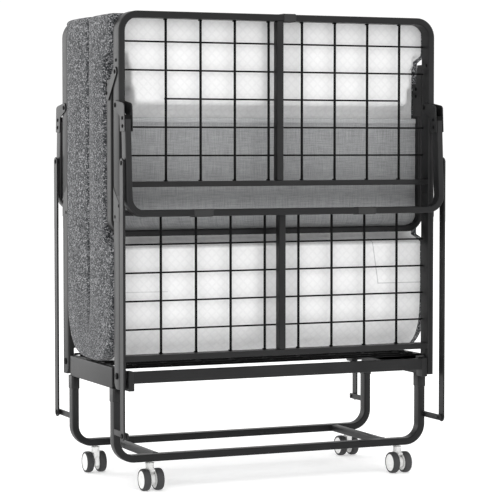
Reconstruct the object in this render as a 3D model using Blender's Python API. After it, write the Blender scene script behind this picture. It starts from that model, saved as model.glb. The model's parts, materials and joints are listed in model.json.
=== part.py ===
"""Rollaway bed, folded upright on its cart: one named object for each piece.

Metres, +Z up. The head half is on -Y and carries the fabric headboard; the foot
half is on +Y. The two halves are mirror images, so most builders take side = -1
for the head half and side = +1 for the foot half.
"""
import math

import bmesh
import bpy
from mathutils import Matrix, Vector

# ---------------------------------------------------------------- dimensions
GAP = 0.0003                     # air between pieces that touch

# bed halves
HALF_WIDTH = 0.393               # outer side face of the panel tubes
TUBE_WIDTH = 0.015               # panel tube, across the bed
TUBE_DEPTH = 0.038               # panel tube, through the panel
PANEL_Y = 0.176                  # middle plane of each folded half
TOP_Z = 1.071
SPLICE_Z = 0.6635                # where the upper and lower frames meet
UPPER_CROSSBAR_Z = (0.683, 0.695)
LOWER_TOP_BAR_Z = (0.6195, 0.6315)
LOWER_BOTTOM_BAR_Z = (0.2965, 0.3092)
TOP_CORNER_RADIUS = 0.045

# wire grids
WIRE_THICK = 0.005
UPRIGHT_WIRE = 0.006
CROSS_WIRE = 0.004
UPRIGHT_COUNT = 8
UPPER_PITCH_X = 0.0836
LOWER_PITCH_X = 0.0847
PITCH_Z = 0.0632
UPPER_GRID_SHIFT = 0.019         # the grids and bars sit a little off the bed's centre
LOWER_GRID_SHIFT = 0.010
UPPER_FIRST_WIRE_Z = 1.005
LOWER_FIRST_WIRE_Z = 0.5545
GRID_Y = 0.1705
BAR_WIDTH = 0.0155               # centre bar, across the bed
BAR_DEPTH = 0.0215
UPPER_BAR_X = -0.0035
LOWER_BAR_X = 0.002
BUMPER_X = (0.0047, 0.0350)

# fold pivots and cart
FOLD_Z = 0.2645
TAIL_Z = 0.2355                  # lower end of the panel tubes, below the pivot
TAIL_CHAMFER = 0.012
BEAM_Z = (0.233, 0.280)
BEAM_HALF_LENGTH = 0.1445
BEAM_INNER_X = 0.3747
EAR_THICK = 0.003
EAR_REACH = 0.192
POST_WIDTH = 0.0165
POST_DEPTH = 0.027
POST_Y = 0.1415
FLOOR_BAR_Z = 0.0733             # middle of the cart's bottom tubes
POST_CORNER_RADIUS = 0.05
ARM_THICK = 0.0055
SLEEVE_WALL = 0.0018
SLEEVE_Z = 0.203
RAIL_Z = (0.248, 0.2743)
RAIL_Y = (0.1835, 0.200)
DECK_Z = (0.2785, 0.2845)
DECK_HALF_DEPTH = 0.168
DECK_ROWS = 9
CROSS_BAR_X = {"left": -0.284, "right": 0.293}

# folding legs and their parallel link rods
LEG_PIVOT_Z = 0.8635
LEG_OFFSET = 0.0425              # leg centre line in front of its pivot
LEG_LEAN = math.atan(0.0594)
LEG_HALF_WIDTH = 0.3933
LEG_TUBE_WIDTH = 0.014
LEG_TUBE_DEPTH = 0.028
LEG_TOP_DROP = 0.0216            # leg tops stay under the panel when it is level
LEG_LENGTH = 0.2452              # pivot to the underside of the foot bar
LEG_CORNER_RADIUS = 0.042
FOOT_X = {"left": -0.2135, "right": 0.191}
FOOT_LENGTH = 0.046
FOOT_WALL = 0.0015
ROD_DROP = 0.127                 # leg pivot to the rod's upper pin
ROD_WIDTH = 0.021
ROD_X = (0.3963, 0.4003)
PLATE_THICK = 0.0024
PIN_RADIUS = 0.0038
HOLE_RADIUS = 0.0044

# headboard
BOARD_Y = (0.1115, 0.1415)
BOARD_HALF_WIDTH = 0.3925
BOARD_TUBE = 0.0135
BOARD_Z = (0.5715, 0.920)
BOARD_PIVOT = (0.174, 0.937)
BOARD_CORNER_RADIUS = 0.04
FABRIC_TOP_Z = 0.8377
FABRIC_THICK = 0.004

# mattress
MATTRESS_HALF_WIDTH = 0.3985
MATTRESS_OUTER_Y = 0.1545
MATTRESS_TOP_Z = 1.068
RECESS_Y = 0.108                 # the headboard lies in this recess
RECESS_TOP_Z = 0.950
FOLD_FULLNESS = 3.0              # 2 is a half round; more is squarer
MATTRESS_GAP = 0.0005

# casters
CASTER_X = {"front_left": -0.303, "front_right": 0.325, "rear_left": -0.332, "rear_right": 0.336}
CASTER_Y = POST_Y
TRAIL = 0.009
WHEEL_RADIUS = 0.025
WHEEL_INNER = 0.0072
WHEEL_OUTER = 0.0242
AXLE_RADIUS = 0.0036
STEM_RADIUS = 0.0055

LEAN = math.tan(LEG_LEAN)
ROD_OFFSET = LEG_OFFSET + ROD_DROP * LEAN


# ------------------------------------------------------------------ materials
def material(name, colour, roughness, metallic=0.0):
    found = bpy.data.materials.get(name)
    if found:
        return found
    made = bpy.data.materials.new(name)
    made.use_nodes = True
    shader = made.node_tree.nodes["Principled BSDF"]
    shader.inputs["Base Color"].default_value = (*colour, 1.0)
    shader.inputs["Roughness"].default_value = roughness
    shader.inputs["Metallic"].default_value = metallic
    made.diffuse_color = (*colour, 1.0)
    return made


MATERIALS = {
    "black_frame": ((0.035, 0.035, 0.037), 0.42, 0.25),
    "black_bolt": ((0.012, 0.012, 0.013), 0.35, 0.6),
    "grey_linen": ((0.24, 0.245, 0.25), 0.95),
    "mattress_grey": ((0.20, 0.205, 0.215), 0.95),
    "caster_white": ((0.78, 0.78, 0.77), 0.35),
    "caster_tyre": ((0.03, 0.03, 0.032), 0.7),
    "black_rubber": ((0.015, 0.015, 0.015), 0.75),
}


# --------------------------------------------------------------- mesh helpers
def finish(name, bm, slot):
    """Turn a bmesh into a named object with outward faces and one material."""
    bmesh.ops.recalc_face_normals(bm, faces=bm.faces)
    mesh = bpy.data.meshes.new(name)
    bm.to_mesh(mesh)
    bm.free()
    obj = bpy.data.objects.new(name, mesh)
    bpy.context.scene.collection.objects.link(obj)
    mesh.materials.append(material(slot, *MATERIALS[slot]))
    return obj


def prism(bm, outline, axis, low, high):
    """Extrude a closed 2D outline along axis 0, 1 or 2, from low to high."""
    def place(point, level):
        spot = list(point)
        spot.insert(axis, level)
        return bm.verts.new(spot)
    first = [place(p, low) for p in outline]
    last = [place(p, high) for p in outline]
    bm.faces.new(first)
    bm.faces.new(last)
    count = len(outline)
    for i in range(count):
        j = (i + 1) % count
        bm.faces.new((first[i], first[j], last[j], last[i]))


def prism_object(name, outline, axis, low, high, slot="black_frame"):
    bm = bmesh.new()
    prism(bm, outline, axis, min(low, high), max(low, high))
    return finish(name, bm, slot)


def box_object(name, low, high, slot="black_frame"):
    outline = [(low[0], low[1]), (high[0], low[1]), (high[0], high[1]), (low[0], high[1])]
    return prism_object(name, outline, 2, low[2], high[2], slot)


def circle(centre, radius, count, start=0.0):
    step = math.tau / count
    return [(centre[0] + radius * math.cos(start + i * step),
             centre[1] + radius * math.sin(start + i * step)) for i in range(count)]


def capsule(first, last, radius, count=6):
    """Outline of a flat bar with round ends, between two pin centres."""
    direction = math.atan2(last[1] - first[1], last[0] - first[0])
    points = []
    for centre, turn in ((last, direction - math.pi / 2), (first, direction + math.pi / 2)):
        for i in range(count + 1):
            angle = turn + math.pi * i / count
            points.append((centre[0] + radius * math.cos(angle), centre[1] + radius * math.sin(angle)))
    return points


def spin(name, profile, centre, slot, count=20):
    """Spin a closed profile of (x, radius) pairs about the X axis through centre."""
    bm = bmesh.new()
    rings = []
    for k in range(count):
        angle = math.tau * k / count
        ring = []
        for along, radius in profile:
            spot = Vector((along, radius * math.cos(angle), radius * math.sin(angle)))
            ring.append(bm.verts.new(spot + Vector(centre)))
        rings.append(ring)
    size = len(profile)
    for k in range(count):
        this, following = rings[k], rings[(k + 1) % count]
        for i in range(size):
            j = (i + 1) % size
            bm.faces.new((this[i], this[j], following[j], following[i]))
    bmesh.ops.remove_doubles(bm, verts=bm.verts, dist=1e-6)
    return finish(name, bm, slot)


def cutter(name, outline, axis, low, high):
    """A hidden solid for a Boolean modifier."""
    obj = prism_object(name, outline, axis, low, high)
    obj.hide_render = True
    obj.display_type = "WIRE"
    return obj


def combine(obj, other, operation):
    """Union or difference with other, which then leaves the model's own list."""
    other.hide_render = True
    other.display_type = "WIRE"
    boolean = obj.modifiers.new(f"{operation}_{other.name}", "BOOLEAN")
    boolean.operation = operation
    boolean.solver = "EXACT"
    boolean.object = other


def drill_x(obj, label, y, z, low, high, radius=HOLE_RADIUS):
    tool = cutter(f"cut_{obj.name}_{label}", circle((y, z), radius, 16, 0.1), 0, low, high)
    combine(obj, tool, "DIFFERENCE")


def arc_path(corners, radius, steps=6):
    """Round the inner corners of an open 2D polyline with arcs of one radius."""
    points = [Vector(corners[0])]
    for before, corner, after in zip(corners, corners[1:], corners[2:]):
        corner = Vector(corner)
        back = (Vector(before) - corner).normalized()
        ahead = (Vector(after) - corner).normalized()
        half = back.angle(ahead) / 2
        reach = radius / math.tan(half)
        centre = corner + (back + ahead).normalized() * (radius / math.sin(half))
        start = corner + back * reach - centre
        end = corner + ahead * reach - centre
        turn = start.angle_signed(end)
        for i in range(steps + 1):
            angle = -turn * i / steps
            points.append(centre + Matrix.Rotation(angle, 2) @ start)
    points.append(Vector(corners[-1]))
    return points


def sweep(name, path, width, depth, chamfer, matrix, slot="black_frame"):
    """Sweep a chamfered rectangle along a 2D path that lies in the XZ plane."""
    a, b, c = width / 2, depth / 2, chamfer
    section = [(a, b - c), (a - c, b), (c - a, b), (-a, b - c),
               (-a, c - b), (c - a, -b), (a - c, -b), (a, c - b)]
    bm = bmesh.new()
    rings = []
    last = len(path) - 1
    for i, point in enumerate(path):
        back = (path[i] - path[i - 1]).normalized() if i > 0 else None
        ahead = (path[i + 1] - path[i]).normalized() if i < last else None
        along = (back or ahead) if not (back and ahead) else (back + ahead).normalized()
        stretch = 1.0 if not (back and ahead) else 1.0 / max(0.2, along.dot(back))
        normal = Vector((-along.y, along.x)) * stretch
        ring = []
        for across, through in section:
            flat = point + normal * across
            ring.append(bm.verts.new(matrix @ Vector((flat.x, through, flat.y))))
        rings.append(ring)
    bm.faces.new(rings[0])
    bm.faces.new(rings[-1])
    for this, following in zip(rings, rings[1:]):
        for i in range(8):
            j = (i + 1) % 8
            bm.faces.new((this[i], this[j], following[j], following[i]))
    return finish(name, bm, slot)


def lattice(name, uprights, crosses, axis, low, high, slot="black_frame"):
    """A flat welded grid as one closed solid.

    uprights are (u0, u1, v0, v1) bars and crosses are the same; the bars are merged
    cell by cell, then given their thickness along the axis.
    """
    bars = list(uprights) + list(crosses)
    us = sorted({round(v, 7) for bar in bars for v in bar[:2]})
    vs = sorted({round(v, 7) for bar in bars for v in bar[2:]})

    def solid(u, v):
        return any(b[0] < u < b[1] and b[2] < v < b[3] for b in bars)

    bm = bmesh.new()
    made = {}

    def vertex(u, v, level):
        key = (u, v, level)
        if key not in made:
            spot = [u, v]
            spot.insert(axis, level)
            made[key] = bm.verts.new(spot)
        return made[key]

    filled = {}
    for i, (u0, u1) in enumerate(zip(us, us[1:])):
        for j, (v0, v1) in enumerate(zip(vs, vs[1:])):
            filled[i, j] = solid((u0 + u1) / 2, (v0 + v1) / 2)
    for (i, j), full in filled.items():
        if not full:
            continue
        square = [(us[i], vs[j]), (us[i + 1], vs[j]), (us[i + 1], vs[j + 1]), (us[i], vs[j + 1])]
        bm.faces.new([vertex(u, v, low) for u, v in square])
        bm.faces.new([vertex(u, v, high) for u, v in square])
        for edge, step in enumerate(((0, -1), (1, 0), (0, 1), (-1, 0))):
            if filled.get((i + step[0], j + step[1])):
                continue
            p, q = square[edge], square[(edge + 1) % 4]
            bm.faces.new((vertex(*p, low), vertex(*q, low), vertex(*q, high), vertex(*p, high)))
    bmesh.ops.dissolve_limit(bm, angle_limit=0.01, verts=bm.verts, edges=bm.edges)
    return finish(name, bm, slot)


def ordered(side, near, far):
    """Low and high Y of a span that runs from near to far on one side of the bed."""
    return tuple(sorted((side * near, side * far)))


# --------------------------------------------------------------- bed halves
def upper_tube(half, side):
    middle = HALF_WIDTH - TUBE_WIDTH / 2
    top = TOP_Z - TUBE_WIDTH / 2
    corners = [(-middle, SPLICE_Z + GAP), (-middle, top), (middle, top), (middle, SPLICE_Z + GAP)]
    path = arc_path(corners, TOP_CORNER_RADIUS - TUBE_WIDTH / 2)
    place = Matrix.Translation((0, side * PANEL_Y, 0))
    tube = sweep(f"{half}_upper_tube", path, TUBE_WIDTH, TUBE_DEPTH, 0.003, place)
    reach = HALF_WIDTH + 0.01
    drill_x(tube, "leg", side * PANEL_Y, LEG_PIVOT_Z, -reach, reach)
    if side < 0:
        drill_x(tube, "board", side * BOARD_PIVOT[0], BOARD_PIVOT[1], -reach, reach)
    return tube


def upper_parts(half, side):
    upper_tube(half, side)
    inside = HALF_WIDTH - TUBE_WIDTH - GAP
    y_low, y_high = ordered(side, PANEL_Y + TUBE_DEPTH / 2, PANEL_Y - TUBE_DEPTH / 2 + 0.003)
    box_object(f"{half}_upper_crossbar", (-inside, y_low, UPPER_CROSSBAR_Z[0]),
               (inside, y_high, UPPER_CROSSBAR_Z[1]))
    front = PANEL_Y + TUBE_DEPTH / 2
    bar_low, bar_high = ordered(side, front, front - BAR_DEPTH)
    top = TOP_Z - TUBE_WIDTH - GAP
    box_object(f"{half}_upper_bar", (UPPER_BAR_X - BAR_WIDTH / 2, bar_low, UPPER_CROSSBAR_Z[1] + GAP),
               (UPPER_BAR_X + BAR_WIDTH / 2, bar_high, top))
    grid(f"{half}_upper_grid", side, UPPER_PITCH_X, UPPER_GRID_SHIFT, UPPER_FIRST_WIRE_Z, 5,
         UPPER_CROSSBAR_Z[1] + GAP, top, short_row=2)
    # rubber bumper around the middle of the top tube
    outline = rect_ring_outline(side)
    bumper(f"{half}_bumper", outline)


def rect_ring_outline(side):
    """Inner and outer rectangles of the bumper's section, as (y, z) boxes."""
    wall = 0.0018
    y_low, y_high = ordered(side, PANEL_Y + TUBE_DEPTH / 2, PANEL_Y - TUBE_DEPTH / 2)
    z_low, z_high = TOP_Z - TUBE_WIDTH, TOP_Z
    inner = (y_low - GAP, y_high + GAP, z_low - GAP, z_high + GAP)
    outer = (inner[0] - wall, inner[1] + wall, inner[2] - wall, inner[3] + wall)
    return inner, outer


def bumper(name, boxes):
    inner, outer = boxes
    uprights = [(outer[0], inner[0], outer[2], outer[3]), (inner[1], outer[1], outer[2], outer[3])]
    crosses = [(outer[0], outer[1], outer[2], inner[2]), (outer[0], outer[1], inner[3], outer[3])]
    lattice(name, uprights, crosses, 0, *BUMPER_X, "black_rubber")


def grid(name, side, pitch, shift, first_z, rows, z_low, z_high, short_row=None):
    """Upright wires between two bars, and cross wires from tube to tube."""
    inside = HALF_WIDTH - TUBE_WIDTH - GAP
    start = shift - pitch * (UPRIGHT_COUNT - 1) / 2
    centres = [start + i * pitch for i in range(UPRIGHT_COUNT)]
    half_u, half_c = UPRIGHT_WIRE / 2, CROSS_WIRE / 2
    uprights = [(x - half_u, x + half_u, z_low, z_high) for x in centres]
    crosses = []
    for row in range(rows):
        z = first_z - row * PITCH_Z
        ends = (centres[0], centres[-1]) if row == short_row else (-inside, inside)
        crosses.append((ends[0], ends[1], z - half_c, z + half_c))
    y_low, y_high = ordered(side, GRID_Y + WIRE_THICK / 2, GRID_Y - WIRE_THICK / 2)
    return lattice(name, uprights, crosses, 1, y_low, y_high)


def lower_frame(half, side):
    inner, outer = HALF_WIDTH - TUBE_WIDTH, HALF_WIDTH
    top = SPLICE_Z - GAP
    uprights = [(-outer, -inner, TAIL_Z, top), (inner, outer, TAIL_Z, top)]
    crosses = [(-outer, outer, *LOWER_TOP_BAR_Z), (-outer, outer, *LOWER_BOTTOM_BAR_Z)]
    y_low, y_high = ordered(side, PANEL_Y + TUBE_DEPTH / 2, PANEL_Y - TUBE_DEPTH / 2)
    frame = lattice(f"{half}_lower_frame", uprights, crosses, 1, y_low, y_high)
    reach = outer + 0.01
    drill_x(frame, "fold", side * PANEL_Y, FOLD_Z, -reach, reach)
    # the corner that swings past the side beam is cut off
    y = side * (PANEL_Y - TUBE_DEPTH / 2)
    inward, outward = side * TAIL_CHAMFER, -side * 0.004
    outline = [(y + inward, TAIL_Z - 0.004), (y + inward, TAIL_Z), (y, TAIL_Z + TAIL_CHAMFER),
               (y + outward, TAIL_Z + TAIL_CHAMFER), (y + outward, TAIL_Z - 0.004)]
    combine(frame, cutter(f"cut_{half}_tail", outline, 0, -reach, reach), "DIFFERENCE")
    return frame


def lower_parts(half, side):
    lower_frame(half, side)
    front = PANEL_Y + TUBE_DEPTH / 2
    y_low, y_high = ordered(side, front, front - BAR_DEPTH)
    z_low, z_high = LOWER_BOTTOM_BAR_Z[1] + GAP, LOWER_TOP_BAR_Z[0] - GAP
    box_object(f"{half}_lower_bar", (LOWER_BAR_X - BAR_WIDTH / 2, y_low, z_low),
               (LOWER_BAR_X + BAR_WIDTH / 2, y_high, z_high))
    grid(f"{half}_lower_grid", side, LOWER_PITCH_X, LOWER_GRID_SHIFT, LOWER_FIRST_WIRE_Z, 4, z_low, z_high)


# ------------------------------------------------------------------ mattress
def mattress(split_z):
    width = MATTRESS_HALF_WIDTH
    outer, inner = MATTRESS_OUTER_Y, MATTRESS_GAP
    low, top = split_z + MATTRESS_GAP, MATTRESS_TOP_Z
    ledge = 0.003
    head = [(-outer, low), (-outer, BOARD_Z[0] - 0.009), (-RECESS_Y, BOARD_Z[0] - 0.009 + ledge),
            (-RECESS_Y, RECESS_TOP_Z), (-outer, RECESS_TOP_Z + ledge), (-outer, top),
            (-inner, top), (-inner, low)]
    prism_object("mattress_head", head, 0, -width, width, "mattress_grey")
    foot = [(inner, low), (outer, low), (outer, top), (inner, top)]
    prism_object("mattress_foot", foot, 0, -width, width, "mattress_grey")
    steps = 16
    fold = []
    for i in range(steps + 1):
        across, down = math.cos(math.pi * i / steps), math.sin(math.pi * i / steps)
        across = math.copysign(abs(across) ** (2 / FOLD_FULLNESS), across)
        fold.append((-outer * across, split_z - outer * max(0.0, down) ** (2 / FOLD_FULLNESS)))
    prism_object("mattress_fold", fold, 0, -width, width, "mattress_grey")


# ------------------------------------------------------------------ headboard
def headboard():
    middle = BOARD_HALF_WIDTH - BOARD_TUBE / 2
    bottom = BOARD_Z[0] + BOARD_TUBE / 2
    corners = [(-middle, BOARD_Z[1]), (-middle, bottom), (middle, bottom), (middle, BOARD_Z[1])]
    path = arc_path(corners, BOARD_CORNER_RADIUS - BOARD_TUBE / 2)
    y_middle = -(BOARD_Y[0] + BOARD_Y[1]) / 2
    place = Matrix.Translation((0, y_middle, 0))
    sweep("headboard_tube", path, BOARD_TUBE, BOARD_Y[1] - BOARD_Y[0], 0.003, place)
    inside = BOARD_HALF_WIDTH - BOARD_TUBE - GAP
    low = BOARD_Z[0] + BOARD_TUBE + GAP
    bend = BOARD_CORNER_RADIUS - BOARD_TUBE
    outline = [(-inside, FABRIC_TOP_Z)]
    for centre_x, start in ((-inside + bend, math.pi), (inside - bend, 1.5 * math.pi)):
        for i in range(5):
            angle = start + math.pi / 2 * i / 4
            outline.append((centre_x + bend * math.cos(angle), low + bend + bend * math.sin(angle)))
    outline.append((inside, FABRIC_TOP_Z))
    prism_object("headboard_fabric", outline, 1, y_middle - FABRIC_THICK / 2,
                 y_middle + FABRIC_THICK / 2, "grey_linen")
    for label, sign in (("left", -1), ("right", 1)):
        pivot_y, pivot_z = -BOARD_PIVOT[0], BOARD_PIVOT[1]
        outline = capsule((pivot_y, pivot_z), (y_middle, BOARD_Z[1] - 0.035), 0.011)
        near, far = HALF_WIDTH + GAP, HALF_WIDTH + GAP + PLATE_THICK
        plate = prism_object(f"headboard_plate_{label}", outline, 0, sign * near, sign * far)
        pin = cutter(f"cut_board_pin_{label}", circle((pivot_y, pivot_z), PIN_RADIUS, 12), 0,
                     *sorted((sign * (HALF_WIDTH - 0.009), sign * (near + 0.001))))
        combine(plate, pin, "UNION")


# ----------------------------------------------------------------------- legs
def leg_matrix(side):
    """Leg space: x across, z up from the pivot's height, leaning outwards downwards."""
    turn = Matrix.Rotation(side * LEG_LEAN, 4, "X")
    return Matrix.Translation((0, side * (PANEL_Y + LEG_OFFSET), LEG_PIVOT_Z)) @ turn


def rod_pins(side):
    """Upper and lower pin centres of the link rods, as (y, z)."""
    upper = (side * (PANEL_Y + ROD_OFFSET), LEG_PIVOT_Z - ROD_DROP)
    lower = (side * (PANEL_Y + ROD_OFFSET), FOLD_Z - ROD_DROP)
    return upper, lower


def leg(half, side):
    middle = LEG_HALF_WIDTH - LEG_TUBE_WIDTH / 2
    slope = math.cos(LEG_LEAN)
    bottom = (-LEG_LENGTH + LEG_TUBE_WIDTH / 2) / slope
    top = -LEG_TOP_DROP / slope
    corners = [(-middle, top), (-middle, bottom), (middle, bottom), (middle, top)]
    path = arc_path(corners, LEG_CORNER_RADIUS - LEG_TUBE_WIDTH / 2)
    place = leg_matrix(side)
    tube = sweep(f"{half}_leg_tube", path, LEG_TUBE_WIDTH, LEG_TUBE_DEPTH, 0.003, place)
    for label in FOOT_X:
        x_low, x_high = FOOT_X[label] - FOOT_LENGTH / 2, FOOT_X[label] + FOOT_LENGTH / 2
        half_depth, half_height = LEG_TUBE_DEPTH / 2 + FOOT_WALL, LEG_TUBE_WIDTH / 2 + FOOT_WALL
        foot = box_object(f"cut_{half}_foot_{label}", (x_low, -half_depth, bottom - half_height),
                          (x_high, half_depth, bottom + half_height), "black_rubber")
        foot.matrix_world = place
        combine(tube, foot, "UNION")
    upper, _ = rod_pins(side)
    drill_x(tube, "rod", *upper, -LEG_HALF_WIDTH - 0.01, LEG_HALF_WIDTH + 0.01)
    for label, sign in (("left", -1), ("right", 1)):
        leg_plate(half, side, label, sign)


def leg_plate(half, side, label, sign):
    """Bracket from the panel pivot to the leg's top: a plate on each side of the tubes and a pin."""
    pivot = (side * PANEL_Y, LEG_PIVOT_Z)
    leg_y = PANEL_Y + LEG_OFFSET
    back, front = leg_y - LEG_TUBE_DEPTH / 2, leg_y + LEG_TUBE_DEPTH / 2
    round_end = [(PANEL_Y + 0.011 * math.cos(a), LEG_PIVOT_Z + 0.011 * math.sin(a))
                 for a in (math.radians(d) for d in (90, 120, 150, 180, 210, 240, 270))]
    outline = round_end + [(back, LEG_PIVOT_Z - 0.024), (back + 0.003, LEG_PIVOT_Z - 0.058),
                           (front + 0.003, LEG_PIVOT_Z - 0.058), (front, LEG_PIVOT_Z + 0.001),
                           (front - 0.008, LEG_PIVOT_Z + 0.0075)]
    near = LEG_HALF_WIDTH + GAP
    far = near + PLATE_THICK - 0.0004
    outline = [(side * y, z) for y, z in outline]
    plate = prism_object(f"{half}_leg_plate_{label}", outline, 0, sign * near, sign * far)
    inner_far = HALF_WIDTH - TUBE_WIDTH - GAP
    inner_near = inner_far - PLATE_THICK
    pin = cutter(f"cut_{half}_leg_pin_{label}", circle(pivot, PIN_RADIUS, 12), 0,
                 *sorted((sign * (inner_far - 0.001), sign * (near + 0.001))))
    combine(plate, pin, "UNION")
    inner = prism_object(f"cut_{half}_leg_inner_{label}", outline, 0, sign * inner_near, sign * inner_far)
    combine(plate, inner, "UNION")


def rods(half, side):
    upper, lower = rod_pins(side)
    for label, sign in (("left", -1), ("right", 1)):
        outline = capsule(lower, upper, ROD_WIDTH / 2)
        rod = prism_object(f"{half}_rod_{label}", outline, 0, sign * ROD_X[0], sign * ROD_X[1])
        for end, centre, inner in (("upper", upper, LEG_HALF_WIDTH - 0.0105),
                                   ("lower", lower, HALF_WIDTH - 0.009)):
            low, high = sorted((sign * inner, sign * (ROD_X[1] + 0.002)))
            pin = cutter(f"cut_{half}_rod_pin_{end}_{label}", circle(centre, PIN_RADIUS, 12), 0, low, high)
            combine(rod, pin, "UNION")


# ----------------------------------------------------------------------- cart
def cart_tube(label, side):
    middle = HALF_WIDTH - POST_WIDTH / 2
    top = BEAM_Z[0] - 0.0005 - GAP
    corners = [(-middle, top), (-middle, FLOOR_BAR_Z), (middle, FLOOR_BAR_Z), (middle, top)]
    path = arc_path(corners, POST_CORNER_RADIUS - POST_WIDTH / 2)
    place = Matrix.Translation((0, side * POST_Y, 0))
    tube = sweep(f"cart_{label}_tube", path, POST_WIDTH, POST_DEPTH, 0.003, place)
    _, lower = rod_pins(side)
    y_low, y_high = ordered(side, POST_Y, abs(lower[0]) + 0.0095)
    for end, sign in (("left", -1), ("right", 1)):
        x_low, x_high = sorted((sign * (HALF_WIDTH - ARM_THICK), sign * (HALF_WIDTH - 0.0005)))
        arm = box_object(f"cut_{label}_arm_{end}", (x_low, y_low, lower[1] - 0.0065),
                         (x_high, y_high, lower[1] + 0.0065))
        combine(tube, arm, "UNION")
        stem = (CASTER_X[f"{label}_{end}"], side * CASTER_Y)
        hole = cutter(f"cut_{label}_stem_{end}", circle(stem, 0.0064, 16), 2,
                      FLOOR_BAR_Z - POST_WIDTH, FLOOR_BAR_Z + 0.0045)
        combine(tube, hole, "DIFFERENCE")
    drill_x(tube, "rod", *lower, -HALF_WIDTH - 0.01, HALF_WIDTH + 0.01)


def side_beam(label, sign):
    """Box beam with an ear at each end for the fold bolt, and two post sleeves."""
    x_low, x_high = sorted((sign * BEAM_INNER_X, sign * HALF_WIDTH))
    beam = box_object(f"side_beam_{label}", (x_low, -BEAM_HALF_LENGTH, BEAM_Z[0]),
                      (x_high, BEAM_HALF_LENGTH, BEAM_Z[1]))
    ear_low, ear_high = sorted((sign * BEAM_INNER_X, sign * (BEAM_INNER_X + EAR_THICK)))
    outline = []
    for end, start in ((1, -math.pi / 2), (-1, math.pi / 2)):
        for i in range(7):
            angle = start + math.pi * i / 6
            outline.append((end * (EAR_REACH - 0.016) + 0.016 * math.cos(angle),
                            FOLD_Z + 0.016 * math.sin(angle)))
    ear = prism_object(f"cut_beam_ear_{label}", outline, 0, ear_low, ear_high)
    combine(beam, ear, "UNION")
    for end, side in (("front", -1), ("rear", 1)):
        half_x, half_y = POST_WIDTH / 2, POST_DEPTH / 2
        centre_x = sign * (HALF_WIDTH - half_x)
        wall = SLEEVE_WALL
        sleeve = box_object(f"cut_sleeve_{label}_{end}",
                            (centre_x - half_x - wall, side * POST_Y - half_y - wall, SLEEVE_Z),
                            (centre_x + half_x + wall, side * POST_Y + half_y + wall, BEAM_Z[0] + 0.001))
        combine(beam, sleeve, "UNION")
        room = box_object(f"cut_socket_{label}_{end}",
                          (centre_x - half_x - GAP, side * POST_Y - half_y - GAP, SLEEVE_Z - 0.01),
                          (centre_x + half_x + GAP, side * POST_Y + half_y + GAP, BEAM_Z[0] - 0.0005))
        combine(beam, room, "DIFFERENCE")
    for end, side in (("front", -1), ("rear", 1)):
        low, high = sorted((sign * (BEAM_INNER_X - 0.005), sign * (BEAM_INNER_X + EAR_THICK + 0.005)))
        drill_x(beam, end, side * PANEL_Y, FOLD_Z, low, high)


def fold_bolt(name, sign, side):
    """Head outside the panel tube, shank through tube and ear, nut inside."""
    head_near, head_far = HALF_WIDTH + GAP, HALF_WIDTH + 0.0035
    nut_far, nut_near = BEAM_INNER_X - 0.0045, BEAM_INNER_X - GAP
    shank, head, nut = PIN_RADIUS, 0.0072, 0.006
    profile = [(nut_far, 0.0), (nut_far, nut), (nut_near, nut), (nut_near, shank),
               (head_near, shank), (head_near, head), (head_far - 0.001, head),
               (head_far, head * 0.7), (head_far, 0.0)]
    profile = [(sign * x, r) for x, r in profile]
    spin_open(name, profile, (0, side * PANEL_Y, FOLD_Z), "black_bolt")


def spin_open(name, profile, centre, slot, count=12):
    """Spin an open profile that starts and ends on the X axis."""
    bm = bmesh.new()
    rings = []
    for along, radius in profile:
        if radius == 0.0:
            rings.append([bm.verts.new(Vector((along, 0, 0)) + Vector(centre))])
            continue
        ring = [bm.verts.new(Vector((along, y, z)) + Vector(centre)) for y, z in circle((0, 0), radius, count)]
        rings.append(ring)
    for this, following in zip(rings, rings[1:]):
        for i in range(count):
            j = (i + 1) % count
            if len(this) == 1:
                bm.faces.new((this[0], following[i], following[j]))
            elif len(following) == 1:
                bm.faces.new((this[i], this[j], following[0]))
            else:
                bm.faces.new((this[i], this[j], following[j], following[i]))
    return finish(name, bm, slot)


def cart():
    cart_tube("front", -1)
    cart_tube("rear", 1)
    bar_reach = POST_Y - POST_DEPTH / 2 - GAP
    half_bar = POST_WIDTH / 2
    for label, sign in (("left", -1), ("right", 1)):
        box_object(f"cross_bar_{label}",
                   (CROSS_BAR_X[label] - half_bar, -bar_reach, FLOOR_BAR_Z - half_bar),
                   (CROSS_BAR_X[label] + half_bar, bar_reach, FLOOR_BAR_Z + half_bar))
        side_beam(label, sign)
        fold_bolt(f"fold_bolt_front_{label}", sign, -1)
        fold_bolt(f"fold_bolt_rear_{label}", sign, 1)
    reach = BEAM_INNER_X - GAP
    for label, side in (("front", -1), ("rear", 1)):
        y_low, y_high = ordered(side, *RAIL_Y)
        box_object(f"{label}_rail", (-reach, y_low, RAIL_Z[0]), (reach, y_high, RAIL_Z[1]))
    deck(reach)


def deck(reach):
    half_u, half_c = 0.0025, 0.003
    rows = [DECK_HALF_DEPTH * (2 * i / (DECK_ROWS - 1) - 1) for i in range(DECK_ROWS)]
    columns = [(i - 4) * LOWER_PITCH_X for i in range(9)]
    crosses = [(-reach, reach, y - half_c, y + half_c) for y in rows]
    uprights = [(x - half_u, x + half_u, rows[0], rows[-1]) for x in columns]
    lattice("mid_deck_grid", uprights, crosses, 2, *DECK_Z)


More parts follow.
